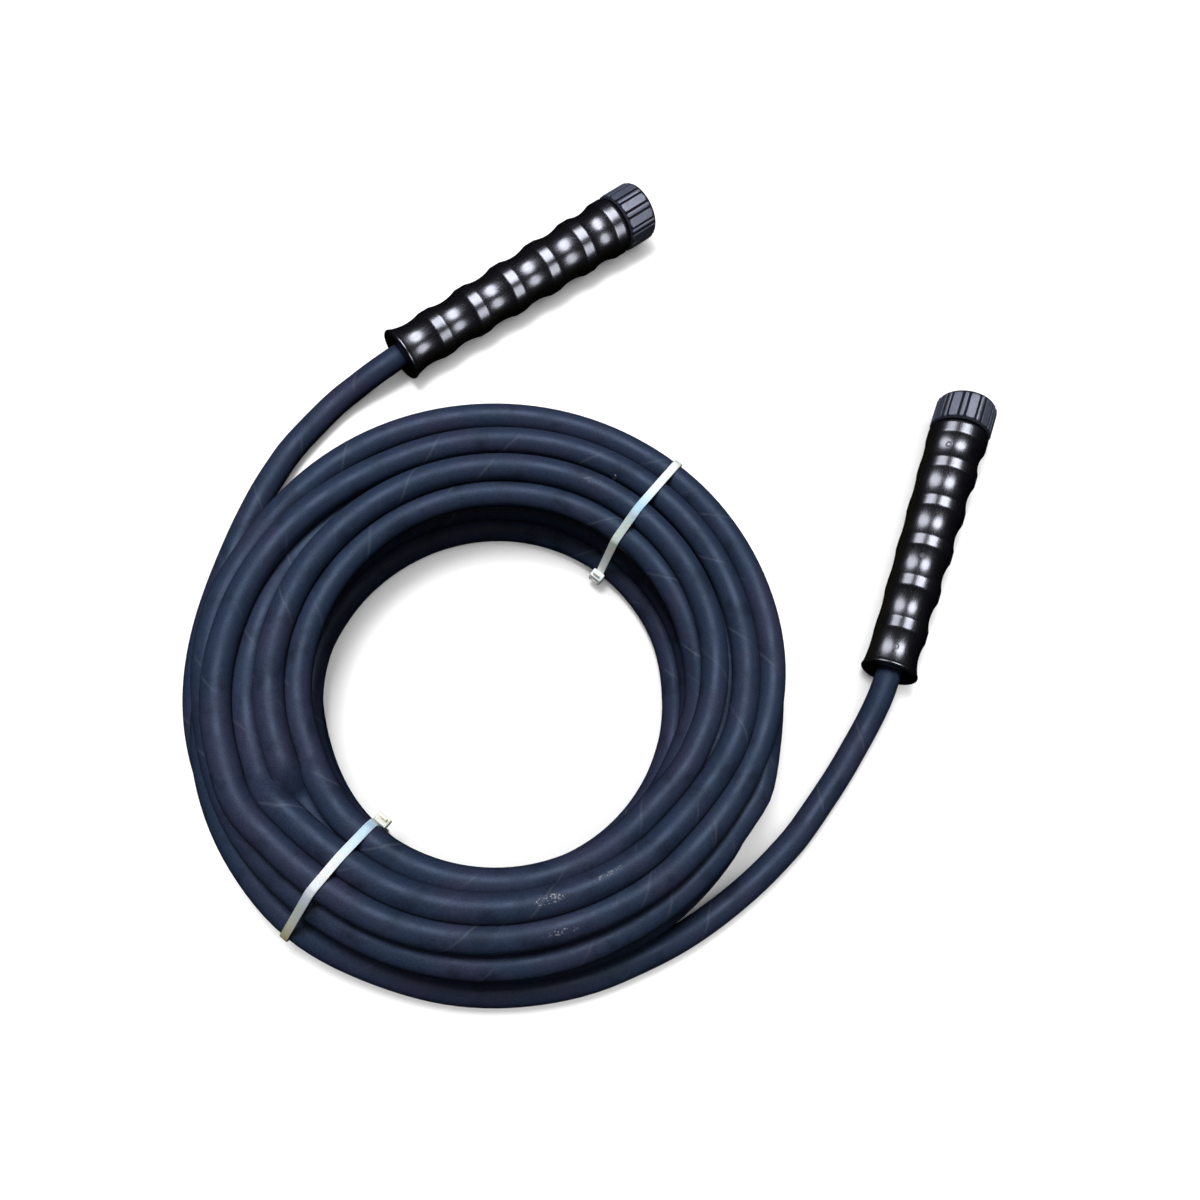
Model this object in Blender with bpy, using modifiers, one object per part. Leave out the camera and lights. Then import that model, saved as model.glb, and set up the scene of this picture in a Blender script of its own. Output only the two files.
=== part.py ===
"""A high-pressure hose, wound into a round coil that two cable ties hold, with a swivel
nut and a long grip sleeve on each end. Metres, +Z up; the hose lies on the floor, z = 0."""
import bpy
import bmesh
from math import acos, atan2, cos, degrees, hypot, pi, radians, sin
from mathutils import Matrix, Vector

# Hose
HOSE_DIAMETER = 0.015
HOSE_BORE = 0.008
BORE_DEPTH = 0.036

# Coil: columns of turns side by side, each a stack of layers
INNER_TURN_RADIUS = 0.1050
COLUMN_PITCH = 0.013
LAYER_PITCH = 0.0152
LAYERS = 4
COLUMN_RISES = (0.0, 0.006, 0.003, -0.004)
CREASE_ANGLE = radians(40)
COIL_SEGMENTS = 40
ARC_STEP = 32

# Cable ties
TIE_ANGLES = (radians(52), radians(-130))
TIE_HEAD_PLACES = (0.05, 0.62)
STRAP_WIDTH = 0.0048
STRAP_THICKNESS = 0.0012
STRAP_BEND = 0.0030
STRAP_SLACK = 0.0006
HEAD_SIZE = (0.0052, 0.0076, 0.0084)
STUB_LENGTH = 0.0042

GAP = 0.0003
STRAND_CLEARANCE = 0.0007
STRAND_OFFSET = HOSE_DIAMETER + STRAND_CLEARANCE
STRAP_ROOM = STRAP_THICKNESS + GAP

# Where each grip's lip lies: degrees round the coil, and how far outside its outermost turn
LIP_A = (107.8, 0.0781)
LIP_B = (2.7, 0.0865)
HEADING_A = radians(38.0)
HEADING_B = radians(67.7)

# Each end of the hose, from its grip's lip to where it joins the coil: degrees round the coil,
# how far outside its outermost turn, and how high above the floor it lies
ROUTE_A = (
    (111.5, 0.0732, 0.0075), (116, 0.0690, 0.0036), (121, 0.0644, 0.0009), (126, 0.0593, 0.0001),
    (132, 0.0523, 0.0), (139, 0.0448, 0.0), (147, 0.0372, 0.0001), (156, 0.0311, 0.0003),
    (165, 0.0278, 0.0007), (174, 0.0258, 0.0011), (183, 0.0240, STRAP_ROOM),
    (193, 0.0214, STRAP_ROOM), (204, 0.0178, STRAP_ROOM), (214.4, STRAND_OFFSET, STRAP_ROOM),
)
ROUTE_B = (
    (-0.3, 0.0811, 0.0077), (-4.5, 0.0738, 0.0034), (-9, 0.0659, 0.0007), (-15, 0.0566, 0.0),
    (-21, 0.0491, 0.0), (-28, 0.0417, 0.0), (-36, 0.0345, 0.0), (-45, 0.0281, 0.0003),
    (-55, 0.0231, 0.0008), (-66, 0.0195, 0.0013), (-78, 0.0169, STRAP_ROOM),
    (-91, STRAND_OFFSET, STRAP_ROOM), (-105, STRAND_OFFSET, STRAP_ROOM),
    (-119, STRAND_OFFSET, STRAP_ROOM), (-132, STRAND_OFFSET, STRAP_ROOM),
    (-145, STRAND_OFFSET, STRAP_ROOM),
)
ROUTE_SPACING = 0.016

# Grip: a swivel nut, then a sleeve with finger grooves between raised rings
GRIP_LENGTH = 0.197
NUT_DIAMETER = 0.0392
NUT_LENGTH = 0.0222
NUT_EDGE = 0.0022
THREAD_BORE = 0.0204
THREAD_DEPTH = 0.0145
RIB_PAIRS = 11
WIDE_RIB_SHARE = 0.636
FIRST_RIB_SHARE = 0.17
RIB_GROOVE_WIDTH = 0.0011
RIB_GROOVE_DEPTH = 0.0010
SLEEVE_GAP = 0.0013
SLEEVE_END_DIAMETER = 0.0380
LIP_DIAMETER = 0.0338
LIP_WIDTH = 0.0050
LIP_RECESS_DIAMETER = 0.0235
LIP_RECESS_DEPTH = 0.0090
RING_COUNT = 5
RING_PITCH = 0.0284
RING_WIDTH = 0.0070
FIRST_RING_DIAMETER = 0.0312
RING_GROWTH = 0.00135
GROOVE_DEPTH = 0.0011

# Inside the grip: a nipple in the hose, and the ferrule crimped around both
NIPPLE_BORE = 0.0050
PROBE_DIAMETER = 0.0140
PROBE_SETBACK = 0.0030
SEAL_GROOVE_START = 0.0050
SEAL_DIAMETER = 0.0018
SEAL_GROOVE_DEPTH = 0.0016
COLLAR_DIAMETER = 0.0186
COLLAR_WIDTH = 0.0020
NECK_DIAMETER = 0.0150
SHOULDER_WIDTH = 0.0020
STEM_DIAMETER = 0.0110
TAIL_LENGTH = 0.0300
FERRULE_WALL = 0.0025
FERRULE_LENGTH = 0.0340

TURNED_SEGMENTS = 24
STRAP_STEPS = 24
TUBE_BEVEL_RESOLUTION = 4

HOSE_RADIUS = HOSE_DIAMETER / 2
COLUMNS = len(COLUMN_RISES)
OUTER_TURN_RADIUS = INNER_TURN_RADIUS + (COLUMNS - 1) * COLUMN_PITCH
LIP_TO_NUT_DROP = (NUT_DIAMETER - LIP_DIAMETER) / 2
GRIP_DIP = atan2(LIP_TO_NUT_DROP, GRIP_LENGTH - NUT_LENGTH - LIP_WIDTH / 2)


def clear_scene():
    for item in list(bpy.data.objects):
        bpy.data.objects.remove(item, do_unlink=True)


def new_collection(name):
    collection = bpy.data.collections.new(name)
    bpy.context.scene.collection.children.link(collection)
    return collection


def new_material(name, colour, roughness, metallic=0.0):
    material = bpy.data.materials.new(name)
    material.use_nodes = True
    shader = material.node_tree.nodes["Principled BSDF"]
    shader.inputs["Base Color"].default_value = (*colour, 1.0)
    shader.inputs["Roughness"].default_value = roughness
    shader.inputs["Metallic"].default_value = metallic
    material.diffuse_color = (*colour, 1.0)
    return material


def add_object(name, data, collection, material=None):
    item = bpy.data.objects.new(name, data)
    collection.objects.link(item)
    if material:
        data.materials.append(material)
    return item


def turned(name, profile, segments, collection, material=None):
    """Turn a closed profile of (radius, height) points about Z."""
    count = len(profile)
    mesh = bpy.data.meshes.new(name)
    mesh.from_pydata([(r, 0.0, z) for r, z in profile],
                     [(i, (i + 1) % count) for i in range(count)], [])
    item = add_object(name, mesh, collection, material)
    screw = item.modifiers.new("Turn", "SCREW")
    screw.steps = segments
    screw.render_steps = segments
    screw.use_merge_vertices = True
    screw.merge_threshold = 0.00001
    screw.use_smooth_shade = True
    return item


def add_cutter(name, bm, collection):
    mesh = bpy.data.meshes.new(name)
    bm.to_mesh(mesh)
    bm.free()
    cutter = add_object(name, mesh, collection)
    cutter.hide_render = True
    cutter.display_type = "WIRE"
    return cutter


def add_box(bm, size, place):
    """A box from a primitive, of the given size, at a place given as a matrix."""
    bmesh.ops.create_cube(bm, size=1.0, matrix=place @ Matrix.Diagonal((*size, 1.0)))


def box_cutter(name, size, place, collection):
    bm = bmesh.new()
    add_box(bm, size, place)
    return add_cutter(name, bm, collection)


def combine(item, other, operation):
    boolean = item.modifiers.new(other.name, "BOOLEAN")
    boolean.operation = operation
    boolean.object = other


def circle_arc(centre, start, end, steps):
    """Points of a turn's outline, clockwise from one angle to another."""
    return [(centre[0] + HOSE_RADIUS * cos(start + (end - start) * i / steps),
             centre[1] + HOSE_RADIUS * sin(start + (end - start) * i / steps))
            for i in range(steps + 1)]


def turn_centre(column, layer):
    """Radius and height of the centre of one turn in the coil's section."""
    rise = COLUMN_RISES[column] * layer / (LAYERS - 1)
    return (INNER_TURN_RADIUS + column * COLUMN_PITCH, HOSE_RADIUS + layer * LAYER_PITCH + rise)


def outer_turns():
    """The turns around the section: down the outside, inwards below, up the inside, out on top."""
    last = COLUMNS - 1
    top = LAYERS - 1
    down = [turn_centre(last, layer) for layer in range(top, 0, -1)]
    inwards = [turn_centre(column, 0) for column in range(last, 0, -1)]
    up = [turn_centre(0, layer) for layer in range(top)]
    outwards = [turn_centre(column, top) for column in range(last)]
    return down + inwards + up + outwards


def coil_profile():
    """The coil's outline: an arc on each outer turn, with the creases between them filled a little."""
    centres = outer_turns()
    count = len(centres)
    points = []
    for i, centre in enumerate(centres):
        before = centres[i - 1]
        after = centres[(i + 1) % count]
        to_before = atan2(before[1] - centre[1], before[0] - centre[0])
        to_after = atan2(after[1] - centre[1], after[0] - centre[0])
        start = to_before - crease(centre, before)
        end = to_after + crease(centre, after)
        sweep = (start - end) % (2 * pi)
        steps = 2 * max(2, round(degrees(sweep) / 2 / ARC_STEP))
        points += circle_arc(centre, start, start - sweep, steps)
    return points


def crease(centre, neighbour):
    """Angle at a turn, from its neighbour's direction to where the crease between them ends."""
    half = hypot(neighbour[0] - centre[0], neighbour[1] - centre[1]) / 2
    meeting = acos(half / HOSE_RADIUS) if half < HOSE_RADIUS else 0.0
    return max(CREASE_ANGLE, meeting)


def add_coil(collection, cutters, material):
    coil = turned("hose_coil", coil_profile(), COIL_SEGMENTS, collection, material)
    outer = OUTER_TURN_RADIUS + HOSE_RADIUS
    inner = INNER_TURN_RADIUS - HOSE_RADIUS
    for i, angle in enumerate(TIE_ANGLES):
        turn = Matrix.Rotation(angle, 4, "Z")
        place = turn @ Matrix.Translation(((outer + inner) / 2, 0.0, 0.0))
        size = (outer - inner + HOSE_DIAMETER, STRAP_WIDTH + 2 * GAP, 2 * STRAP_ROOM)
        combine(coil, box_cutter("strap_notch_%d" % i, size, place, cutters), "DIFFERENCE")


def circle(centre, radius):
    """Points around a circle, as a strap's middle line would pass them."""
    return [(centre[0] + radius * cos(2 * pi * i / STRAP_STEPS),
             centre[1] + radius * sin(2 * pi * i / STRAP_STEPS)) for i in range(STRAP_STEPS)]


def tight_outline(points):
    """The convex outline of the points, anticlockwise."""
    ordered = sorted(points)
    sides = []
    for run in (ordered, ordered[::-1]):
        side = []
        for point in run:
            while len(side) > 1 and turns_right(side[-2], side[-1], point):
                side.pop()
            side.append(point)
        sides += side[:-1]
    return sides


def turns_right(a, b, c):
    return (b[0] - a[0]) * (c[1] - a[1]) - (b[1] - a[1]) * (c[0] - a[0]) <= 1e-12


def strap_loop(holds_outer_strand):
    """The strap's middle line: flat below the coil, tight over its inner, outer and top turns."""
    reach = HOSE_RADIUS + STRAP_SLACK + STRAP_THICKNESS / 2
    inner = INNER_TURN_RADIUS - reach
    outer = OUTER_TURN_RADIUS + reach
    if holds_outer_strand:
        outer += STRAND_OFFSET
    bend_height = STRAP_THICKNESS / 2 + STRAP_BEND
    points = circle((inner + STRAP_BEND, bend_height), STRAP_BEND)
    points += circle((outer - STRAP_BEND, bend_height), STRAP_BEND)
    if holds_outer_strand:
        points += circle((outer - reach, STRAP_THICKNESS / 2 + reach), reach)
    for column in range(COLUMNS):
        points += circle(turn_centre(column, LAYERS - 1), reach)
    return tight_outline(points)


def inner_side_height(share):
    """Height on the coil's inner side, as a share of the way from its lowest turn to its top."""
    low = HOSE_RADIUS + STRAP_ROOM
    return low + share * (turn_centre(0, LAYERS - 1)[1] - low)


def add_tie(name, angle, head_place, holds_outer_strand, collection, cutters, material):
    """A strap around the coil's section, with its head on the inner side and a cut-off end."""
    points = strap_loop(holds_outer_strand)
    count = len(points)
    mesh = bpy.data.meshes.new(name)
    half = STRAP_WIDTH / 2
    rows = [(x, y, z) for y in (-half, half) for x, z in points]
    mesh.from_pydata(rows, [], [(i, (i + 1) % count, count + (i + 1) % count, count + i)
                                for i in range(count)])
    tie = add_object(name, mesh, collection, material)
    shell = tie.modifiers.new("Strap", "SOLIDIFY")
    shell.thickness = STRAP_THICKNESS
    shell.offset = 0.0
    tie.rotation_euler = (0.0, 0.0, angle)
    head_height = inner_side_height(head_place)
    strap_radius = INNER_TURN_RADIUS - HOSE_RADIUS - STRAP_SLACK
    head_middle = strap_radius - HEAD_SIZE[0] / 2
    turn = Matrix.Rotation(angle, 4, "Z")
    head = box_cutter(name + "_head", HEAD_SIZE,
                      turn @ Matrix.Translation((head_middle, 0.0, head_height)), cutters)
    stub_size = (STRAP_THICKNESS, STRAP_WIDTH * 0.98, HEAD_SIZE[2] / 2 + STUB_LENGTH)
    stub_place = (head_middle - HEAD_SIZE[0] / 4, 0.0, head_height + stub_size[2] / 2)
    stub = box_cutter(name + "_stub", stub_size, turn @ Matrix.Translation(stub_place), cutters)
    combine(tie, head, "UNION")
    combine(tie, stub, "UNION")
    return tie


def nut_profile():
    """Outline of the nut, its mouth at height 0 and the rest below it."""
    outer = NUT_DIAMETER / 2
    thread = THREAD_BORE / 2
    neck = NECK_DIAMETER / 2 + GAP
    return [
        (outer - NUT_EDGE, 0.0), (outer - NUT_EDGE * 0.4, -NUT_EDGE * 0.3),
        (outer, -NUT_EDGE), (outer, -NUT_LENGTH + NUT_EDGE / 2),
        (outer - NUT_EDGE / 2, -NUT_LENGTH), (neck, -NUT_LENGTH),
        (neck, -THREAD_DEPTH), (thread, -THREAD_DEPTH),
        (thread, -NUT_EDGE / 2), (thread + NUT_EDGE / 2, 0.0),
    ]


def add_nut(name, collection, cutters, material):
    nut = turned(name, nut_profile(), RIB_PAIRS * 4, collection, material)
    bm = bmesh.new()
    size = (2 * RIB_GROOVE_DEPTH, RIB_GROOVE_WIDTH, NUT_LENGTH * 2)
    for i in range(2 * RIB_PAIRS):
        share = i // 2 + (WIDE_RIB_SHARE if i % 2 else 0.0)
        turn = Matrix.Rotation(2 * pi * (share + FIRST_RIB_SHARE) / RIB_PAIRS, 4, "Z")
        add_box(bm, size, turn @ Matrix.Translation((NUT_DIAMETER / 2, 0.0, -NUT_LENGTH / 2)))
    grooves = add_cutter(name + "_grooves", bm, cutters)
    combine(nut, grooves, "DIFFERENCE")
    return nut, grooves


def sleeve_profile():
    """Outline of the sleeve, from its nut end down to its lip, with raised rings on the way."""
    top = -NUT_LENGTH - SLEEVE_GAP
    bottom = -GRIP_LENGTH
    end = SLEEVE_END_DIAMETER / 2
    lip = LIP_DIAMETER / 2
    half = RING_WIDTH / 2
    outside = [(end - RING_WIDTH / 8, top), (end, top - RING_WIDTH / 8), (end, top - half)]
    for i in reversed(range(RING_COUNT)):
        ring = (FIRST_RING_DIAMETER + i * RING_GROWTH) / 2
        height = bottom + (i + 1) * RING_PITCH
        valley = ring - GROOVE_DEPTH
        middle = height + RING_PITCH / 2
        outside += [(valley, middle), (valley + GROOVE_DEPTH / 3, middle - RING_PITCH / 4),
                    (ring, height + half), (ring, height - half),
                    (valley + GROOVE_DEPTH / 3, height - RING_PITCH / 4)]
    first_valley = FIRST_RING_DIAMETER / 2 - GROOVE_DEPTH
    outside += [(first_valley, bottom + RING_PITCH / 2), (first_valley, bottom + 2 * LIP_WIDTH),
                (lip, bottom + LIP_WIDTH), (lip, bottom + LIP_WIDTH / 3),
                (lip - LIP_WIDTH / 4, bottom)]
    bore = HOSE_RADIUS + GAP
    chamber = HOSE_RADIUS + FERRULE_WALL + 3 * GAP
    chamber_end = -NUT_LENGTH - SLEEVE_GAP - SHOULDER_WIDTH - FERRULE_LENGTH - GAP
    recess = LIP_RECESS_DIAMETER / 2
    inside = [(recess, bottom), (recess - (recess - bore) / 4, bottom + LIP_RECESS_DEPTH * 0.6),
              (bore, bottom + LIP_RECESS_DEPTH), (bore, chamber_end), (chamber, chamber_end),
              (chamber, top)]
    return outside + inside


def nipple_profile():
    """Outline of the nipple: probe, seal groove, collar, neck, shoulder, stem and tail."""
    start = -PROBE_SETBACK
    bore = NIPPLE_BORE / 2
    probe = PROBE_DIAMETER / 2
    groove = probe - SEAL_GROOVE_DEPTH
    groove_end = -SEAL_GROOVE_START - SEAL_DIAMETER - 2 * GAP
    collar = COLLAR_DIAMETER / 2
    collar_end = -THREAD_DEPTH + GAP
    neck = NECK_DIAMETER / 2
    shoulder_start = -NUT_LENGTH - SLEEVE_GAP
    shoulder_end = shoulder_start - SHOULDER_WIDTH
    stem = STEM_DIAMETER / 2
    tail = HOSE_BORE / 2 - GAP
    tail_start = shoulder_end - FERRULE_WALL - 2 * GAP
    tail_end = tail_start - TAIL_LENGTH
    return [
        (probe - GAP, start), (probe, start - GAP), (probe, -SEAL_GROOVE_START),
        (groove, -SEAL_GROOVE_START), (groove, groove_end), (probe, groove_end),
        (probe, collar_end + COLLAR_WIDTH), (collar, collar_end + COLLAR_WIDTH),
        (collar, collar_end), (neck, collar_end), (neck, shoulder_end),
        (stem, shoulder_end), (stem, tail_start), (tail, tail_start), (tail, tail_end),
        (bore, tail_end), (bore, start),
    ]


def ferrule_profile():
    """Outline of the ferrule: an end wall around the nipple's stem and a skirt over the hose."""
    top = -NUT_LENGTH - SLEEVE_GAP - SHOULDER_WIDTH - GAP
    skirt = top - FERRULE_WALL
    bottom = top - FERRULE_LENGTH + 2 * GAP
    bore = HOSE_RADIUS + GAP
    outer = bore + FERRULE_WALL
    hole = STEM_DIAMETER / 2 + GAP
    edge = FERRULE_WALL / 4
    return [
        (outer - edge, top), (outer, top - edge), (outer, bottom + edge),
        (outer - edge, bottom), (bore, bottom), (bore, skirt), (hole, skirt), (hole, top),
    ]


def seal_profile():
    """Outline of the O-ring in the nipple's groove."""
    radius = SEAL_DIAMETER / 2
    middle = PROBE_DIAMETER / 2 - SEAL_GROOVE_DEPTH + GAP + radius
    height = -SEAL_GROOVE_START - GAP - radius
    return [(middle + radius * cos(-2 * pi * i / 8 + pi / 8),
             height + radius * sin(-2 * pi * i / 8 + pi / 8)) for i in range(8)]


def beside_coil(angle, offset, height):
    """A point at so many degrees round the coil, outside its outermost turn."""
    radius = OUTER_TURN_RADIUS + offset
    return Vector((radius * cos(radians(angle)), radius * sin(radians(angle)), height))


def grip_place(lip, heading):
    """Matrix of a grip: its axis +Z points out of the mouth and dips towards the lip's height."""
    rise = NUT_DIAMETER / 2 + NUT_LENGTH * sin(GRIP_DIP)
    reach = GRIP_LENGTH * cos(GRIP_DIP)
    mouth = beside_coil(*lip, rise) + Vector((cos(heading), sin(heading), 0.0)) * reach
    axis = Matrix.Rotation(heading, 4, "Z") @ Matrix.Rotation(pi / 2 - GRIP_DIP, 4, "Y")
    return Matrix.Translation(mouth) @ axis


def through_points(points, spacing):
    """A smooth curve through the points, read at about equal steps."""
    ends = [2 * points[0] - points[1]] + points + [2 * points[-1] - points[-2]]
    line = [points[0]]
    for a, b, c, d in zip(ends, ends[1:], ends[2:], ends[3:]):
        steps = max(1, round((c - b).length / spacing))
        for k in range(1, steps + 1):
            t = k / steps
            line.append(0.5 * (2 * b + (c - a) * t + (2 * a - 5 * b + 4 * c - d) * t ** 2
                               + (3 * b - a - 3 * c + d) * t ** 3))
    return line


def add_tail(name, place, route, collection, cutters, material):
    """A hose end: straight through its grip, then along its route to the coil."""
    hose_top = -NUT_LENGTH - SLEEVE_GAP - SHOULDER_WIDTH - FERRULE_WALL - 3 * GAP
    bend_start = place @ Vector((0.0, 0.0, -GRIP_LENGTH + LIP_RECESS_DEPTH))
    lying = [beside_coil(angle, offset, HOSE_RADIUS + lift) for angle, offset, lift in route]
    line = [place @ Vector((0.0, 0.0, hose_top))]
    line += through_points([bend_start] + lying, ROUTE_SPACING)
    data = bpy.data.curves.new(name, "CURVE")
    data.dimensions = "3D"
    data.bevel_depth = HOSE_RADIUS
    data.bevel_resolution = TUBE_BEVEL_RESOLUTION
    data.use_fill_caps = True
    spline = data.splines.new("POLY")
    spline.points.add(len(line) - 1)
    for point, position in zip(spline.points, line):
        point.co = (*position, 1.0)
    guide = add_object(name + "_guide", data, cutters)
    bpy.context.view_layer.update()
    depsgraph = bpy.context.evaluated_depsgraph_get()
    mesh = bpy.data.meshes.new_from_object(guide.evaluated_get(depsgraph))
    bm = bmesh.new()
    bm.from_mesh(mesh)
    bmesh.ops.remove_doubles(bm, verts=bm.verts, dist=0.00001)
    bm.to_mesh(mesh)
    bm.free()
    mesh.name = name
    tail = add_object(name, mesh, collection, material)
    tail.matrix_world = guide.matrix_world
    bpy.data.objects.remove(guide, do_unlink=True)
    bm = bmesh.new()
    bmesh.ops.create_cone(bm, cap_ends=True, segments=TURNED_SEGMENTS // 2,
                          radius1=HOSE_BORE / 2, radius2=HOSE_BORE / 2, depth=2 * BORE_DEPTH)
    bore = add_cutter(name + "_bore", bm, cutters)
    bore.matrix_world = place @ Matrix.Translation((0.0, 0.0, hose_top))
    combine(tail, bore, "DIFFERENCE")
    return tail


def add_grip(side, lip, heading, route, collection, cutters, materials):
    """One end of the hose: swivel nut, sleeve, nipple, O-ring, ferrule and the hose in them."""
    place = grip_place(lip, heading)
    nut, grooves = add_nut("swivel_nut_" + side, collection, cutters, materials["nut"])
    pieces = [
        nut, grooves,
        turned("grip_sleeve_" + side, sleeve_profile(), TURNED_SEGMENTS, collection,
               materials["sleeve"]),
        turned("nipple_" + side, nipple_profile(), TURNED_SEGMENTS, collection,
               materials["brass"]),
        turned("ferrule_" + side, ferrule_profile(), TURNED_SEGMENTS, collection,
               materials["steel"]),
        turned("o_ring_" + side, seal_profile(), TURNED_SEGMENTS, collection,
               materials["seal"]),
    ]
    for piece in pieces:
        piece.matrix_world = place
    add_tail("hose_tail_" + side, place, route, collection, cutters, materials["hose"])


def stand_on_origin(collections):
    """Move everything so that the object's box is centred over the origin, on the floor."""
    bpy.context.view_layer.update()
    depsgraph = bpy.context.evaluated_depsgraph_get()
    corners = []
    for item in collections[0].objects:
        mesh = item.evaluated_get(depsgraph).to_mesh()
        corners += [item.matrix_world @ vertex.co for vertex in mesh.vertices]
    low = [min(corner[i] for corner in corners) for i in range(3)]
    high = [max(corner[i] for corner in corners) for i in range(3)]
    shift = Matrix.Translation((-(low[0] + high[0]) / 2, -(low[1] + high[1]) / 2, -low[2]))
    for collection in collections:
        for item in collection.objects:
            item.matrix_world = shift @ item.matrix_world


def main():
    clear_scene()
    parts = new_collection("Pressure washer hose")
    cutters = new_collection("Cutters")
    materials = {
        "hose": new_material("Black rubber", (0.018, 0.020, 0.025), 0.62),
        "sleeve": new_material("Gloss black plastic", (0.010, 0.010, 0.011), 0.22),
        "nut": new_material("Satin grey plastic", (0.045, 0.052, 0.062), 0.42),
        "brass": new_material("Brass", (0.74, 0.55, 0.26), 0.30, 1.0),
        "steel": new_material("Plated steel", (0.62, 0.62, 0.60), 0.32, 1.0),
        "seal": new_material("Seal rubber", (0.012, 0.012, 0.012), 0.50),
        "tie": new_material("White nylon", (0.82, 0.86, 0.90), 0.40),
    }
    add_coil(parts, cutters, materials["hose"])
    add_grip("a", LIP_A, HEADING_A, ROUTE_A, parts, cutters, materials)
    add_grip("b", LIP_B, HEADING_B, ROUTE_B, parts, cutters, materials)
    ties = zip(("cable_tie_a", "cable_tie_b"), TIE_ANGLES, TIE_HEAD_PLACES, (False, True))
    for name, angle, head_place, holds_outer_strand in ties:
        add_tie(name, angle, head_place, holds_outer_strand, parts, cutters, materials["tie"])
    stand_on_origin((parts, cutters))


main()
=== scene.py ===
"""Looks of a coiled high-pressure hose: rubber hose, grips, swivel nuts and cable ties."""
from math import atan2, cos, pi, radians, sin, sqrt, tan

import bmesh
import bpy
import numpy as np
from mathutils import Matrix, Vector


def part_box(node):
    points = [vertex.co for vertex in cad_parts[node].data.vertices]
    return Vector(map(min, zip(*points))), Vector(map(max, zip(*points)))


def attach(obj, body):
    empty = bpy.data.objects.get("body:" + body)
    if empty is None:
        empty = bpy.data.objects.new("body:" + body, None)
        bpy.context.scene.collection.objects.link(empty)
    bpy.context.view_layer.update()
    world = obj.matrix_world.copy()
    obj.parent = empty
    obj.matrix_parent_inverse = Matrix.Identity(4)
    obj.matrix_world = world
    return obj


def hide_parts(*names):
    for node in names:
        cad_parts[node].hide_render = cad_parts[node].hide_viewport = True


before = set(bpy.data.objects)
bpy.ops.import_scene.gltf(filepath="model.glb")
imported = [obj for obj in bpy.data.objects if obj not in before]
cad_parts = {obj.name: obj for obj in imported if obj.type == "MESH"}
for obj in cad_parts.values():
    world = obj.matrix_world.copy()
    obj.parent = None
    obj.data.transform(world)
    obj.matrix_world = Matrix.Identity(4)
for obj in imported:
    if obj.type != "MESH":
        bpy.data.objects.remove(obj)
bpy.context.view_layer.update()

# How far apart a material's nodes lie in the editor
NODE_SPACING = 180

# Camera
CAMERA_PLACE = Vector((-0.0860, -0.2000, 0.5390))
CAMERA_LOOKS_AT = Vector((-0.0148, -0.0309, 0.0))
CAMERA_ROLL = radians(1.1)
LENS = 27.93
SENSOR_WIDTH = 36.0
CLIP_START = 0.01

# Studio: place, size and brightness of each light, and what they aim at
KEY_LIGHT = ((-0.28, 0.27, 1.35), (0.38, 0.38), 30.0)
FILL_LIGHT = ((0.0, 0.0, 2.2), (3.0, 3.0), 0.55)
FLOOR_LIGHT = ((0.0, 0.0, 2.2), (4.0, 4.0), 3.0)
COIL_PANEL = ((-0.05, 0.35, 1.25), (0.8, 0.6), 7.5)
LIGHTS_AIM = (-0.03, 0.0, 0.0)
FLOOR_HALF = 3.0
FLOOR_GAP = 0.0002
FLOOR_COLOUR = (0.90, 0.90, 0.90)
BACKDROP_COLOUR = (0.9, 0.95, 1.0, 1.0)

# Each grip mirrors two panels, at these tilts from the line that faces the camera and this far
# to each side, in degrees, with this brightness
GRIP_PANELS = {"a": ((-18.6, 12.0, 12.0), (15.0, 9.5, 6.8)),
               "b": ((-17.0, 9.0, 7.5), (10.5, 8.5, 12.5))}
PANEL_DISTANCE = 1.4
PANEL_WIDTH = 0.66
PANEL_AIM_SHARE = 0.52
PANEL_TINT = (0.84, 0.86, 1.0)
COIL_PANEL_TINT = (0.55, 0.72, 1.0)

# Hose
HOSE_DIAMETER = 0.015
HOSE_SIDES = 24
HOSE_STEP = 0.0058

# How the coil settles, in millimetres and degrees: its turns are read at so many angles. Each
# round evens them out, pulls them to their places, lets the loose ones sink and pushes apart
# those that overlap, between the coil's inner wall, which lies further out on one side, and the
# wall of its hidden layers. Under each tie the strands lie higher, by the strap's thickness.
STEPS_PER_TURN = 72
SETTLING_ROUNDS = 420
PUSHES_PER_ROUND = 3
EVENING = 0.25
PULL = 0.12
LEAST_PULL = 0.004
SINKING = 0.02
PUSH_SHARE = 0.7
HELD_FIRMNESS = 0.85
STRAP_LIFT = 1.6
STRAP_LIFT_SPREAD = 9
INNER_WALL = 103.2
INNER_WALL_SWAY = 4.0
INNER_WALL_TURN = 135
OUTER_WALL = 149.5
NO_WALL = 999.0
FAR_AWAY = 1e6
NEAR_ZERO = 1e-9

# How firmly a stretch of hose keeps its place while the coil settles
FIRM_HOLD = 1.0
SEEN_HOLD = 0.6
HIDDEN_HOLD = 0.02
LOOSE_BELOW = 0.05

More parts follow.
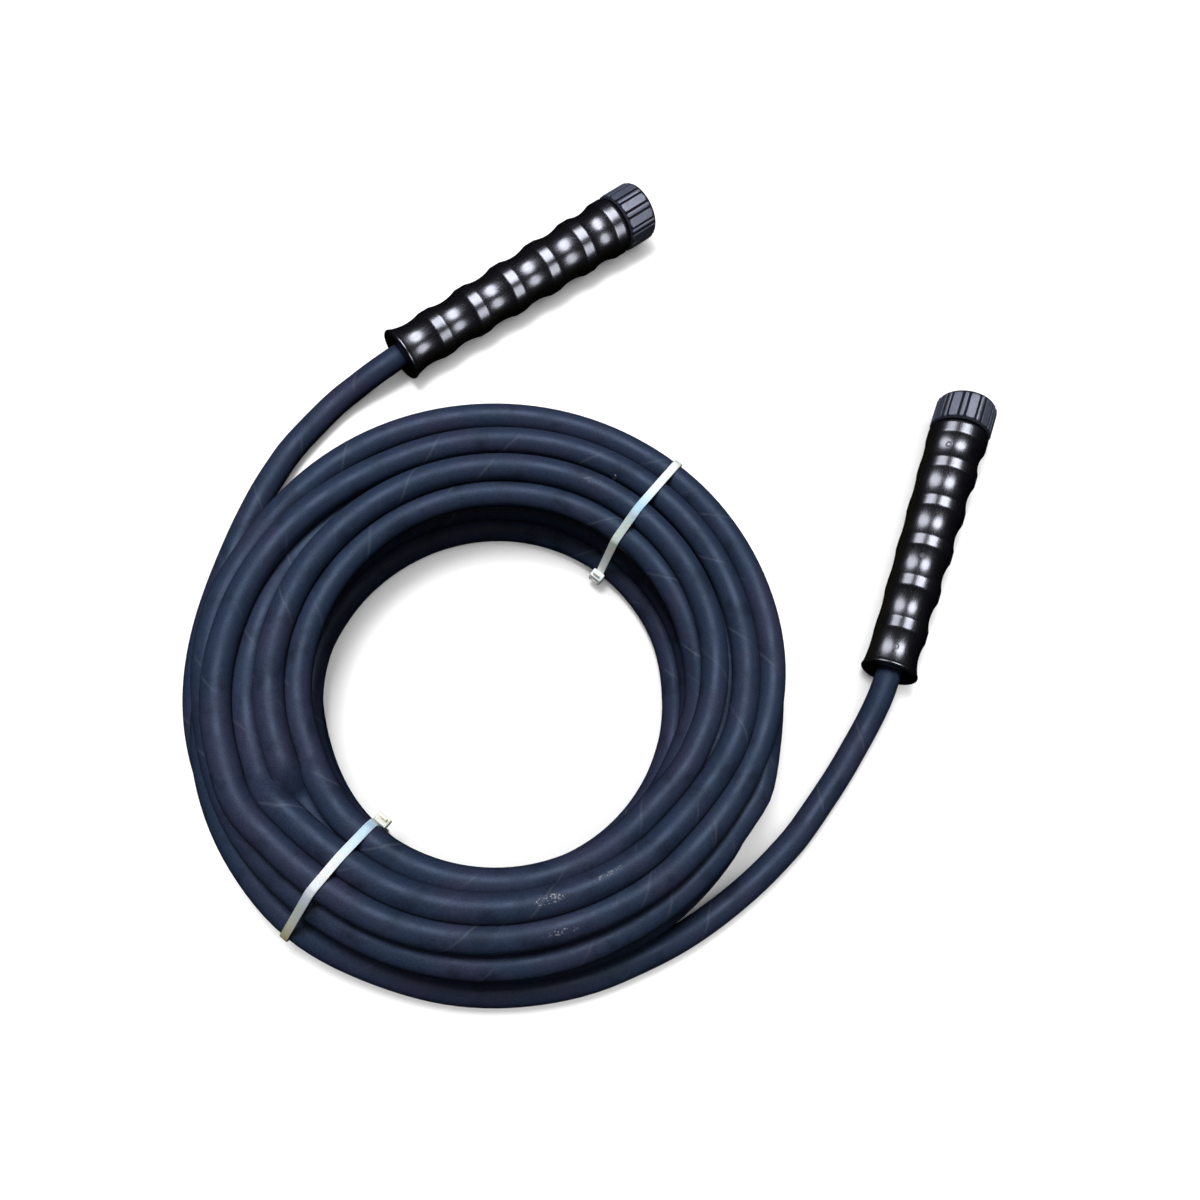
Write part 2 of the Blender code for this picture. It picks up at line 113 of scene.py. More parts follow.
# Grips, as in the CAD source
GRIP_LENGTH = 0.197
NUT_DIAMETER = 0.0392
NUT_LENGTH = 0.0222
THREAD_BORE = 0.0204
THREAD_DEPTH = 0.0145
RIB_PAIRS = 11
WIDE_RIB_SHARE = 0.636
SLEEVE_END_DIAMETER = 0.0380
LIP_DIAMETER = 0.0338
LIP_WIDTH = 0.0050
LIP_RECESS_DIAMETER = 0.0235
LIP_RECESS_DEPTH = 0.0090
RING_COUNT = 5
RING_PITCH = 0.0284
RING_WIDTH = 0.0072
FIRST_RING_DIAMETER = 0.0312
RING_GROWTH = 0.00135
SLEEVE_GAP = 0.0013
SHOULDER_WIDTH = 0.0020
FERRULE_WALL = 0.0025
FERRULE_LENGTH = 0.0340
NIPPLE_BORE = 0.0050
PROBE_DIAMETER = 0.0140
PROBE_SETBACK = 0.0030
SEAL_GROOVE_START = 0.0050
SEAL_DIAMETER = 0.0018
SEAL_GROOVE_DEPTH = 0.0016
COLLAR_DIAMETER = 0.0186
COLLAR_WIDTH = 0.0020
NECK_DIAMETER = 0.0150
STEM_DIAMETER = 0.0110
TAIL_DIAMETER = 0.0074
TAIL_LENGTH = 0.0300
GAP = 0.0003
LIP_A = (107.8, 0.0781)
LIP_B = (2.7, 0.0865)
HEADING_A = radians(38.0)
HEADING_B = radians(67.7)
GRIP_DIP = atan2((NUT_DIAMETER - LIP_DIAMETER) / 2, GRIP_LENGTH - NUT_LENGTH - LIP_WIDTH / 2)
SLEEVE_LENGTH = GRIP_LENGTH - NUT_LENGTH - SLEEVE_GAP

# Sleeves, seen closer
FINGER_GROOVE_DEPTH = 0.0018
LIP_BEAD_WIDTH = 0.0030
LIP_BEAD_STEP = 0.0006
LIP_BEAD_FRONT = 0.0010
LIP_EDGE = 0.0007
LIP_EDGE_HEIGHT = 0.0008
LIP_FACE = 0.0030
LIP_FACE_CROWN = 0.00002
RECESS_TAPER = 0.0016
END_FACE = 0.0052
END_BAND_SETBACK = 0.0020
END_ROUNDING = 0.0009
SHALLOW_SIDE_SHARE = 0.25
SHALLOW_SIDE_FADE = 4
SHALLOW_SIDE_A = radians(0)
SHALLOW_SIDE_B = radians(90)
SLEEVE_STEP = 0.0008
SLEEVE_SIDES = 80

# Nuts, seen closer: the ribs' halves, feet and shoulders are shares of a pair of ribs or of a rib
RIM_RADIUS = 0.01855
WIDE_RIB_FLAT = 0.01928
NARROW_RIB_TOP = 0.0195
RIB_START = 0.0013
RIB_END = 0.0008
WIDE_RIB_HALF = 0.246
NARROW_RIB_HALF = 0.110
RIB_GROOVE_BELOW_RIM = 0.0008
RIB_FOOT = 0.020
RIB_SHOULDER = 0.94
RIB_EDGE_FROM = 0.97
RIB_EDGE_FALL = 0.00016
RIB_CORNER = 0.0007
RIB_FRONT_RAMP = 0.0009
RIB_REAR_RAMP = 0.0008
NARROW_RIB_CROWN = 0.00032
FRONT_EDGE_LENGTH = 0.0021
FRONT_EDGE_FALL = 0.0013
REAR_EDGE_LENGTH = 0.0008
REAR_EDGE_FALL = 0.0005
REAR_FACE_RADIUS = 0.0172
FIRST_RIB_A = 0.565
FIRST_RIB_B = 0.92
NUT_RING_DEPTHS = (0.0, 0.00015, 0.0004, 0.0008, 0.0013, 0.0015, 0.0018, 0.0021, 0.0025, 0.0030,
                   0.0050, 0.0110, 0.0170, 0.0195, 0.0200, 0.0204, 0.0208, 0.0212, 0.0214, 0.0218,
                   NUT_LENGTH)
NUT_FACE = ((0.01560, 0.0), (0.01530, -0.00025), (0.01330, -0.00030), (0.01300, -0.0001))

# Brass insert, nipple and seal, seen closer
INSERT_RADIUS = 0.0122
INSERT_CLEARANCE = 0.00005
INSERT_SEAT_EDGE = 0.0004
INSERT_SETBACK = 0.0006
INSERT_END_GAP = 0.0001
INSERT_EDGE = 0.0002
THREAD_PITCH = 0.0015
THREAD_RIDGE = 0.0008
THREAD_LEAD_IN = 0.0010
STEPS_PER_THREAD = 8
TURNED_SIDES = 48
SEAL_SIDES = 16
PROBE_RELIEF = 0.0001
PROBE_NOSE = 0.0008
NIPPLE_CHAMFER = 0.0006
COLLAR_EDGE = 0.0003
FINE_EDGE = 0.0002
BARB_COUNT = 6
BARB_HEIGHT = 0.0004

# Cable ties
TIE_ANGLES = (52.0, -130.0)
TIE_HEAD_PLACES = (0.05, 0.62)
STRAP_WIDTH = 0.0048
STRAP_THICKNESS = 0.0012
STRAP_SLACK = 0.0002
STRAP_BEND = 0.0030
STRAP_STEP = 0.0012
STRAND_SIDES = 48
BEND_SIDES = 24
HEAD_SIZE = (0.0052, 0.0078, 0.0084)
HEAD_EDGE = 0.0007
SLOT_MARGIN = 0.0010
SLOT_DEPTH = 0.0005
PAWL_MARGIN = 0.0013
PAWL_DEPTH = 0.0007
WINDOW_WALL = 0.0002
STUB_LENGTH = 0.0042
STUB_WIDTH_SHARE = 0.98
STUB_EDGE = 0.0003
TOOTH_PITCH = 0.0009
LAYERS_HEIGHT = 0.0456

# The hose's two ends, as in the CAD source: degrees round the coil, how far outside its
# outermost turn, and how high above the floor each point lies
OUTER_TURN_RADIUS = 0.144
STRAND_OFFSET = 0.0157
STRAP_ROOM = STRAP_THICKNESS + GAP
ROUTE_A = (
    (111.5, 0.0732, 0.0075), (116, 0.0690, 0.0036), (121, 0.0644, 0.0009), (126, 0.0593, 0.0001),
    (132, 0.0523, 0.0), (139, 0.0448, 0.0), (147, 0.0372, 0.0001), (156, 0.0311, 0.0003),
    (165, 0.0278, 0.0007), (174, 0.0258, 0.0011), (183, 0.0240, STRAP_ROOM),
    (193, 0.0214, STRAP_ROOM), (204, 0.0178, STRAP_ROOM), (214.4, STRAND_OFFSET, STRAP_ROOM),
)
ROUTE_B = (
    (-0.3, 0.0811, 0.0077), (-4.5, 0.0738, 0.0034), (-9, 0.0659, 0.0007), (-15, 0.0566, 0.0),
    (-21, 0.0491, 0.0), (-28, 0.0417, 0.0), (-36, 0.0345, 0.0), (-45, 0.0281, 0.0003),
    (-55, 0.0231, 0.0008), (-66, 0.0195, 0.0013), (-78, 0.0169, STRAP_ROOM),
    (-91, STRAND_OFFSET, STRAP_ROOM), (-105, STRAND_OFFSET, STRAP_ROOM),
    (-119, STRAND_OFFSET, STRAP_ROOM), (-132, STRAND_OFFSET, STRAP_ROOM),
    (-145, STRAND_OFFSET, STRAP_ROOM),
)

# The degrees between which each hose end's points lie beside the coil and settle with it
BESIDE_COIL_A = (125, 211)
BESIDE_COIL_B = (300, 345)

# Where the turns lie: degrees wound, radius and height in millimetres. The hidden turns fill
# three layers, each a row of its first and last angle, first and last radius, and height. The
# degrees of the strands after them count from the top's start.
LAYER_STEP = 45
LAYER_RUNS = ((265, 1600, 143, 104, 7.5), (1630, 2780, 105, 146, 22.5), (2810, 3550, 146, 108, 38))
TOP_START = 3600
TAIL_B_START = TOP_START + 5 * 360
TOP_INNER = (
    (10, 106, 47), (25, 105.5, 50), (60, 105, 52), (95, 104.4, 53), (128, 105, 53), (160, 107, 53),
    (189, 110, 53), (217, 109, 55), (242, 106.3, 56), (267, 104, 56), (305, 102.2, 57),
    (334, 107, 58), (351, 110.4, 59), (368, 113.4, 59), (385, 115.2, 60), (420, 117.5, 61),
    (455, 117, 61), (488, 117, 61), (519, 118.4, 59), (548, 120.2, 57), (567, 119.8, 55),
)
DIPS_UNDER = (
    (590, 119.5, 51), (620, 119.5, 46), (660, 121, 41), (700, 125, 38), (760, 127, 38),
    (820, 130, 41),
)
TOP_OUTER = (
    (860, 132.5, 45), (877, 132.5, 48), (893, 132.4, 51), (908, 131.9, 54), (927, 128.7, 56),
    (952, 121.5, 58), (987, 116.5, 59), (1013, 114.9, 59), (1041, 118.6, 58), (1072, 127.1, 58),
    (1106, 133.6, 57), (1140, 136, 57), (1174, 136, 56), (1207, 135.5, 57), (1238, 141.5, 58),
    (1267, 144.5, 58), (1300, 138.3, 58), (1331, 131.7, 58), (1348, 129.5, 58), (1387, 128.9, 58),
    (1416, 136.2, 56), (1434, 143.7, 55), (1467, 150.1, 53), (1501, 152.3, 53), (1534, 152.7, 53),
    (1566, 152.6, 53), (1590, 152, 51),
)
DOWN_OUTSIDE = ((1620, 152.5, 43),)
LOW_STRAND = (
    (1649, 152.7, 39), (1671, 147.7, 41), (1690, 143.7, 42), (1708, 142.9, 42),
    (1735, 143.9, 42), (1764, 146.2, 42), (1784, 147.1, 40),
)
TO_THE_FLOOR = ((1830, 150, 33), (1880, 150, 29), (1940, 152, 27), (1980, 157, 25))
LAST_STRAND = (
    (2000, 160, 24), (2016, 161.1, 22), (2029, 159.6, 19), (2041, 158.3, 15),
    (2055, 157.4, 11), (2068, 158, 9), (2082, 159.9, 8.8), (2097, 163.8, 8.5),
)
FIRST_STRAND = ((213, 160.6, 7.5), (232, 153.5, 8), (250, 144, 8))

# The strands after the layers, in order along the hose, each with its hold. Those with a seen
# hold follow the photo, and the others lead from one to the next.
STRANDS = ((TOP_INNER, SEEN_HOLD), (DIPS_UNDER, 0.03), (TOP_OUTER, SEEN_HOLD), (DOWN_OUTSIDE, 0.1),
           (LOW_STRAND, SEEN_HOLD), (TO_THE_FLOOR, 0.08), (LAST_STRAND, SEEN_HOLD))

# Wrap marks on the hose: lines around it, lines along one girth's length, width and gaps
WRAP_MARKS = ((1.0, 1.0, 0.030, 0.5), (2.0, 3.1, 0.05, 1.1))

# Pale scuffs on the hose: degrees round the coil, radius, height, then the patch's length
# along the hose and its width, all in millimetres, and how strong it is
SCUFFS = (
    (-79.4, 116.3, 70, 20, 7, 1.2), (-63.8, 114.4, 69.4, 26, 3, 0.5),
    (-77.5, 132.2, 64.4, 26, 4, 0.6), (62.3, 128.7, 58.1, 2.8, 2.8, 6.0),
    (67.0, 116.7, 68.3, 26, 5, 0.2), (-104.1, 143.5, 64, 9, 3, 0.4),
)
SCUFF_HEIGHT = 0.014

# The sleeves' undersides: where their painted reflection begins and is full, downwards from the axis
UNDERSIDE_REFLECTION_FADE = (-0.009, 0.001)

# Small round marks on grip B, in its grooves: distance from the lip, degrees round the sleeve,
# radius and line width in millimetres, and how strong it is
RING_MARKS_B = ((155.0, 147.0, 1.9, 0.7, 1.0), (75.0, 159.0, 0.8, 1.6, 1.0),
                (13.0, 160.0, 1.7, 0.7, 0.8))

# Colours: the main one, its patches and dark parts, then marks, painted reflection, painted shade
HOSE_COLOURS = ((0.0255, 0.0415, 0.0830), (0.0360, 0.0400, 0.0830), (0.0140, 0.0210, 0.0410))
SLEEVE_COLOURS = ((0.0050, 0.0052, 0.0075), (0.0062, 0.0058, 0.0090), (0.0035, 0.0035, 0.0045))
NUT_COLOURS = ((0.078, 0.096, 0.140), (0.092, 0.100, 0.150), (0.058, 0.072, 0.104))
BRASS_COLOURS = ((0.74, 0.55, 0.26), (0.74, 0.55, 0.26), (0.58, 0.40, 0.17))
STEEL_COLOURS = ((0.62, 0.62, 0.60), (0.62, 0.62, 0.60), (0.45, 0.45, 0.44))
SEAL_COLOURS = ((0.012, 0.012, 0.013), (0.018, 0.018, 0.020), (0.008, 0.008, 0.008))
NYLON_CLOUDS = ((1.0, 1.0, 1.0), (0.95, 0.97, 0.98), (0.88, 0.91, 0.91))
WRAP_MARK_COLOUR = (0.110, 0.125, 0.170, 1)
SCUFF_COLOUR = (0.42, 0.43, 0.46, 1)
# Painted reflection on the sleeves' undersides
UNDERSIDE_REFLECTION_COLOUR = (0.034, 0.030, 0.008, 1)
RING_MARK_COLOUR = (0.002, 0.002, 0.003, 1)
# Painted shade in the nuts' grooves
NUT_GROOVE_PAINTED_SHADE = (0.006, 0.007, 0.014, 1)

# Painted light and shade of each tie, by distance from the coil's middle in millimetres, its two
# ends first
PAINTED_SHADING_START = 92
PAINTED_SHADING_END = 172
PAINTED_SHADING_A = ((92, (0.80, 0.80, 0.78)), (170, (0.46, 0.45, 0.34)), (96, (0.48, 0.54, 0.50)),
           (108, (0.38, 0.46, 0.46)), (116, (0.28, 0.42, 0.54)), (124, (0.42, 0.54, 0.58)),
           (132, (0.56, 0.60, 0.60)), (156, (0.57, 0.58, 0.57)))
PAINTED_SHADING_B = ((97, (0.74, 0.73, 0.64)), (169, (0.26, 0.25, 0.15)), (101, (0.30, 0.42, 0.54)),
           (113, (0.40, 0.51, 0.57)), (124, (0.55, 0.58, 0.58)), (139, (0.52, 0.54, 0.58)),
           (146, (0.40, 0.43, 0.50)), (152, (0.34, 0.37, 0.35)), (161, (0.36, 0.37, 0.32)))

low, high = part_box("hose_coil")
COIL_CENTRE = Vector(((low[0] + high[0]) / 2, (low[1] + high[1]) / 2, 0.0))


# Hose route

def polar_point(angle, radius, height):
    return COIL_CENTRE + Vector((radius * cos(radians(angle)), radius * sin(radians(angle)), height))


def beside_coil(angle, offset, height):
    """A point at so many degrees round the coil, outside its outermost turn."""
    return polar_point(angle, OUTER_TURN_RADIUS + offset, height)


def grip_place(lip, heading):
    """Matrix of a grip: its axis +Z points out of the mouth, and +X points down."""
    rise = NUT_DIAMETER / 2 + NUT_LENGTH * sin(GRIP_DIP)
    reach = GRIP_LENGTH * cos(GRIP_DIP)
    mouth = beside_coil(*lip, rise) + Vector((cos(heading), sin(heading), 0.0)) * reach
    axis = Matrix.Rotation(heading, 4, "Z") @ Matrix.Rotation(pi / 2 - GRIP_DIP, 4, "Y")
    return Matrix.Translation(mouth) @ axis


def smooth_read(at, places, values):
    """Values between unevenly spaced places, on a smooth curve through them."""
    gaps = np.diff(places)
    slopes = np.diff(values) / gaps
    tangents = np.empty(len(places))
    tangents[0] = slopes[0]
    tangents[-1] = slopes[-1]
    tangents[1:-1] = (slopes[:-1] * gaps[1:] + slopes[1:] * gaps[:-1]) / (gaps[:-1] + gaps[1:])
    k = np.clip(np.searchsorted(places, at) - 1, 0, len(gaps) - 1)
    h = gaps[k]
    t = (at - places[k]) / h
    return ((2 * t ** 3 - 3 * t ** 2 + 1) * values[k] + (t ** 3 - 2 * t ** 2 + t) * h * tangents[k]
            + (3 * t ** 2 - 2 * t ** 3) * values[k + 1] + (t ** 3 - t ** 2) * h * tangents[k + 1])


def winding_plan():
    """Rows of angle, radius, height and hold, in degrees and millimetres, for the whole coil."""
    rows = [(*row, FIRM_HOLD) for row in tail_rows(ROUTE_A, BESIDE_COIL_A, 0)]
    rows += [(*row, SEEN_HOLD) for row in FIRST_STRAND]
    for start, end, radius_from, radius_to, height in LAYER_RUNS:
        count = round((end - start) / LAYER_STEP)
        for i in range(count + 1):
            t = i / count
            rows.append((start + (end - start) * t, radius_from + (radius_to - radius_from) * t,
                         height, HIDDEN_HOLD))
    for strand, hold in STRANDS:
        rows += [(TOP_START + angle, radius, height, hold) for angle, radius, height in strand]
    rows += [(*row, FIRM_HOLD) for row in tail_rows(ROUTE_B, BESIDE_COIL_B, TAIL_B_START)]
    return np.array(rows)


def tail_rows(route, beside_coil_angles, wound_before):
    """Angle, radius and height of the points of a hose end that lie beside the coil."""
    first, last = beside_coil_angles
    rows = [(angle % 360 + wound_before, (OUTER_TURN_RADIUS + offset) * 1000,
             (HOSE_DIAMETER / 2 + lift) * 1000)
            for angle, offset, lift in route if first < angle % 360 < last]
    return sorted(rows)


def push_apart(place, table, hold):
    """Push overlapping strands of each section apart, held ones less, and give the overlap."""
    there = table >= 0
    same = np.arange(table.shape[1])
    rows = place[table]
    rows[~there] = FAR_AWAY
    apart = rows[:, :, None] - rows[:, None]
    distance = np.sqrt((apart ** 2).sum(-1))
    distance[:, same, same] = FAR_AWAY
    overlap = np.clip(HOSE_DIAMETER * 1000 - distance, 0, None)
    overlap[~there] = 0
    overlap.transpose(0, 2, 1)[~there] = 0
    give = np.where(there, 1 - HELD_FIRMNESS * hold[table], 0)
    share = give[:, :, None] / (give[:, :, None] + give[:, None] + NEAR_ZERO)
    push = (apart / np.maximum(distance, NEAR_ZERO)[..., None]
            * (overlap * share * PUSH_SHARE)[..., None]).sum(2)
    place[table[there]] += push[there]
    return float(overlap.max())


def settle_coil():
    """Let the turns push each other apart over a set number of rounds, and read the path they take.
    """
    plan = winding_plan()
    step = 360 / STEPS_PER_TURN
    index = np.arange(int(np.ceil(plan[0, 0] / step)), int(plan[-1, 0] / step) + 1)
    angle = index * step
    wanted = np.stack([smooth_read(angle, plan[:, 0], plan[:, i]) for i in (1, 2)], 1)
    hold = np.clip(smooth_read(angle, plan[:, 0], plan[:, 3]), 0.0, 1.0)
    turn = index // STEPS_PER_TURN
    table = np.full((STEPS_PER_TURN, turn.max() + 1), -1)
    table[index % STEPS_PER_TURN, turn] = np.arange(len(index))
    facing = (angle + 180) % 360 - 180
    strap_lift = np.zeros(len(index))
    for tie_angle in TIE_ANGLES:
        away = (facing - tie_angle + 180) % 360 - 180
        strap_lift = np.maximum(strap_lift, STRAP_LIFT * np.exp(-(away / STRAP_LIFT_SPREAD) ** 2))
    floor = HOSE_DIAMETER * 1000 / 2 + strap_lift
    inner_wall = INNER_WALL + INNER_WALL_SWAY * np.cos(np.radians(facing + INNER_WALL_TURN))
    outer_wall = np.where(hold < LOOSE_BELOW, OUTER_WALL, NO_WALL)
    place = wanted.copy()
    for _ in range(SETTLING_ROUNDS):
        pulled = place.copy()
        even = EVENING * (1 - hold[1:-1, None])
        pulled[1:-1] += even * ((place[:-2] + place[2:]) / 2 - place[1:-1])
        place = pulled + (PULL * hold + LEAST_PULL)[:, None] * (wanted - pulled)
        place[:, 1] -= SINKING * (1 - hold)
        for _ in range(PUSHES_PER_ROUND):
            overlap = push_apart(place, table, hold)
            place[:, 1] = np.maximum(place[:, 1], floor)
            place[:, 0] = np.clip(place[:, 0], inner_wall, outer_wall)
    print("coil overlap left, mm:", round(overlap, 2))
    return angle, place / 1000


def through_points(points, spacing):
    """A smooth curve through the points, read at about equal steps."""
    ends = [2 * points[0] - points[1]] + points + [2 * points[-1] - points[-2]]
    line = [points[0]]
    for a, b, c, d in zip(ends, ends[1:], ends[2:], ends[3:]):
        steps = max(1, round((c - b).length / spacing))
        for k in range(1, steps + 1):
            t = k / steps
            line.append(0.5 * (2 * b + (c - a) * t + (2 * a - 5 * b + 4 * c - d) * t ** 2
                               + (3 * b - a - 3 * c + d) * t ** 3))
    return line


def hose_line(place_a, place_b, angle, place):
    """The hose's centreline: out of grip A, along the floor, round the coil and into grip B."""
    hose_top = -NUT_LENGTH - SLEEVE_GAP - SHOULDER_WIDTH - FERRULE_WALL - 3 * GAP
    bend_start = -GRIP_LENGTH + LIP_RECESS_DEPTH
    inside = [Vector((0.0, 0.0, hose_top + (bend_start - hose_top) * i / 4)) for i in range(5)]
    lying = HOSE_DIAMETER / 2
    points = [place_a @ point for point in inside]
    points += [beside_coil(a, offset, lying + lift) for a, offset, lift in ROUTE_A
               if a <= BESIDE_COIL_A[0]]
    points += [polar_point(a, r, z) for a, (r, z) in zip(angle, place)]
    points += [beside_coil(a, offset, lying + lift) for a, offset, lift in reversed(ROUTE_B)
               if a >= BESIDE_COIL_B[1] - 360]
    points += [place_b @ point for point in reversed(inside)]
    return through_points(points, HOSE_STEP)


# Mesh building

def add_object(name, data):
    item = bpy.data.objects.new(name, data)
    bpy.context.scene.collection.objects.link(item)
    return item


def new_object(name, mesh, body, material, place=None):
    """A piece of the part, riding a body, with the slot it takes its finish from."""
    item = add_object(name, mesh)
    if place:
        item.matrix_world = place
    mesh.materials.append(material)
    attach(item, body)
    return item


def skin(name, rings, sharp=None):
    """A closed mesh over rings of points, the last ring joined to the first."""
    count = len(rings)
    sides = len(rings[0])
    faces = []
    for i in range(count):
        j = (i + 1) % count
        for k in range(sides):
            k2 = (k + 1) % sides
            faces.append((i * sides + k, i * sides + k2, j * sides + k2, j * sides + k))
    mesh = bpy.data.meshes.new(name)
    mesh.from_pydata([tuple(p) for ring in rings for p in ring], [], faces)
    return face_outwards(mesh, sharp)


def face_outwards(mesh, sharp=None):
    """Turn every face of a closed mesh outwards and shade it smooth, but for its sharp edges."""
    bm = bmesh.new()
    bm.from_mesh(mesh)
    bmesh.ops.recalc_face_normals(bm, faces=bm.faces)
    bm.to_mesh(mesh)
    bm.free()
    mesh.shade_smooth()
    if sharp:
        mesh.set_sharp_from_angle(angle=sharp)
    return mesh


def even_angles(count):
    return [2 * pi * k / count for k in range(count)]


def circle(radius, height, angles):
    return [(radius * cos(a), radius * sin(a), height) for a in angles]


def turned(name, profile, sharp=radians(30)):
    """A closed profile of (radius, height) points, turned about Z."""
    angles = even_angles(TURNED_SIDES)
    return skin(name, [circle(r, z, angles) for r, z in profile], sharp)


def tube_mesh(name, line, radius, sides):
    """A closed tube along a line, with its length and girth laid out as its UV map."""
    count = len(line)
    ahead = [(line[min(i + 1, count - 1)] - line[max(i - 1, 0)]).normalized() for i in range(count)]
    side = ahead[0].cross(Vector((0, 0, 1))).normalized()
    vertices = []
    travelled = [0.0]
    for i in range(count):
        if i:
            travelled.append(travelled[-1] + (line[i] - line[i - 1]).length)
            side = (side - ahead[i] * side.dot(ahead[i])).normalized()
        up = side.cross(ahead[i])
        for k in range(sides):
            turn = 2 * pi * k / sides
            vertices.append(line[i] + (side * cos(turn) + up * sin(turn)) * radius)
    faces = []
    uvs = []
    girth = 2 * pi * radius
    for i in range(count - 1):
        for k in range(sides):
            k2 = (k + 1) % sides
            faces.append((i * sides + k, i * sides + k2, (i + 1) * sides + k2, (i + 1) * sides + k))
            u0, u1 = travelled[i] / girth, travelled[i + 1] / girth
            uvs += [(u0, k / sides), (u0, (k + 1) / sides), (u1, (k + 1) / sides), (u1, k / sides)]
    faces.append(tuple(reversed(range(sides))))
    faces.append(tuple((count - 1) * sides + k for k in range(sides)))
    uvs += [(0.0, 0.0)] * (2 * sides)
    mesh = bpy.data.meshes.new(name)
    mesh.from_pydata([tuple(v) for v in vertices], [], faces)
    layer = mesh.uv_layers.new(name="UVMap")
    layer.data.foreach_set("uv", [number for uv in uvs for number in uv])
    mesh.shade_smooth()
    return mesh, travelled[-1]


# Grips

def ease(t):
    t = min(1.0, max(0.0, t))
    return t * t * (3 - 2 * t)


def sleeve_bands():
    """Middle and radius of each raised ring, counted from the lip, and of the band at the nut."""
    bands = [((i + 1) * RING_PITCH, (FIRST_RING_DIAMETER + i * RING_GROWTH) / 2)
             for i in range(RING_COUNT)]
    return bands + [(SLEEVE_LENGTH - RING_WIDTH / 2 - END_BAND_SETBACK, SLEEVE_END_DIAMETER / 2)]


def sleeve_radius(along, side, shallow_side):
    """Outside radius of a sleeve so far along from its lip, on the side at this angle."""
    bands = sleeve_bands()
    half = RING_WIDTH / 2
    lip = LIP_DIAMETER / 2
    first = bands[0][0] - half
    facing = max(0.0, cos(side - shallow_side)) ** SHALLOW_SIDE_FADE
    depth = FINGER_GROOVE_DEPTH * (1 - (1 - SHALLOW_SIDE_SHARE) * facing)
    if along < LIP_BEAD_WIDTH:
        away = along / (LIP_BEAD_WIDTH / 2) - 1
        return lip - (LIP_BEAD_STEP if away > 0 else LIP_BEAD_FRONT) * away ** 2
    if along < first:
        t = (along - LIP_BEAD_WIDTH) / (first - LIP_BEAD_WIDTH)
        dip = 1 - (2 * t - 1) ** 2
        behind = lip - LIP_BEAD_STEP
        return behind + (bands[0][1] - behind) * t - depth * dip
    for (start, low_radius), (end, high_radius) in zip(bands, bands[1:]):
        if along <= start + half:
            return low_radius
        if along < end - half:
            t = (along - start - half) / (end - start - RING_WIDTH)
            return low_radius + (high_radius - low_radius) * t - depth * (1 - (2 * t - 1) ** 2)
    last, radius = bands[-1]
    over = max(0.0, along - last - half) / (SLEEVE_LENGTH - last - half)
    return radius - END_ROUNDING * over ** 2


def sleeve_mesh(name, shallow_side):
    """A sleeve from its lip up the outside to its nut end, and back through its bore."""
    steps = round(SLEEVE_LENGTH / SLEEVE_STEP)
    angles = even_angles(SLEEVE_SIDES)
    rings = []
    for i in range(steps + 1):
        along = SLEEVE_LENGTH * i / steps
        radii = [sleeve_radius(along, a, shallow_side) for a in angles]
        rings.append([(r * cos(a), r * sin(a), along - GRIP_LENGTH) for r, a in zip(radii, angles)])
    bore = HOSE_DIAMETER / 2 + GAP
    chamber = HOSE_DIAMETER / 2 + FERRULE_WALL + 3 * GAP
    chamber_end = -NUT_LENGTH - SLEEVE_GAP - SHOULDER_WIDTH - FERRULE_LENGTH - GAP
    top = -NUT_LENGTH - SLEEVE_GAP
    recess = LIP_RECESS_DIAMETER / 2
    bottom = -GRIP_LENGTH
    inside = [
        (recess + END_FACE, top), (chamber, top), (chamber, chamber_end), (bore, chamber_end),
        (bore, bottom + LIP_RECESS_DEPTH), (recess - RECESS_TAPER, bottom + LIP_RECESS_DEPTH * 0.75),
        (recess - RECESS_TAPER / 8, bottom + LIP_RECESS_DEPTH * 0.35),
        (recess, bottom + LIP_EDGE_HEIGHT), (recess + LIP_EDGE, bottom),
        (recess + LIP_FACE, bottom - LIP_FACE_CROWN),
    ]
    rings += [circle(r, z, angles) for r, z in inside]
    return skin(name, rings, sharp=radians(50))


def nut_sides(first_rib):
    """Rows of angle, share of the rib's half width, whether on its top, and whether it is wide."""
    wide_middle = WIDE_RIB_SHARE / 2
    narrow_middle = (1 + WIDE_RIB_SHARE) / 2
    rows = []
    for i in range(RIB_PAIRS):
        for middle, half, wide in ((wide_middle, WIDE_RIB_HALF, True),
                                   (narrow_middle, NARROW_RIB_HALF, False)):
            foot = half + RIB_FOOT
            shoulder = half * RIB_SHOULDER
            for offset, on_top in ((-foot, False), (-half, True), (-shoulder, True),
                                   (-half / 2, True), (0.0, True), (half / 2, True),
                                   (shoulder, True), (half, True), (foot, False)):
                angle = 2 * pi * (i + middle + offset + first_rib) / RIB_PAIRS
                rows.append((angle, offset / half, on_top, wide))
    return rows


def rim_radius(depth):
    """Radius of the nut's body between its ribs, so far behind its front face."""
    if depth < FRONT_EDGE_LENGTH:
        ahead = 1 - depth / FRONT_EDGE_LENGTH
        return RIM_RADIUS - FRONT_EDGE_FALL * (1 - sqrt(1 - ahead ** 2))
    behind = depth - (NUT_LENGTH - REAR_EDGE_LENGTH)
    return RIM_RADIUS - REAR_EDGE_FALL * max(0.0, behind / REAR_EDGE_LENGTH) ** 2


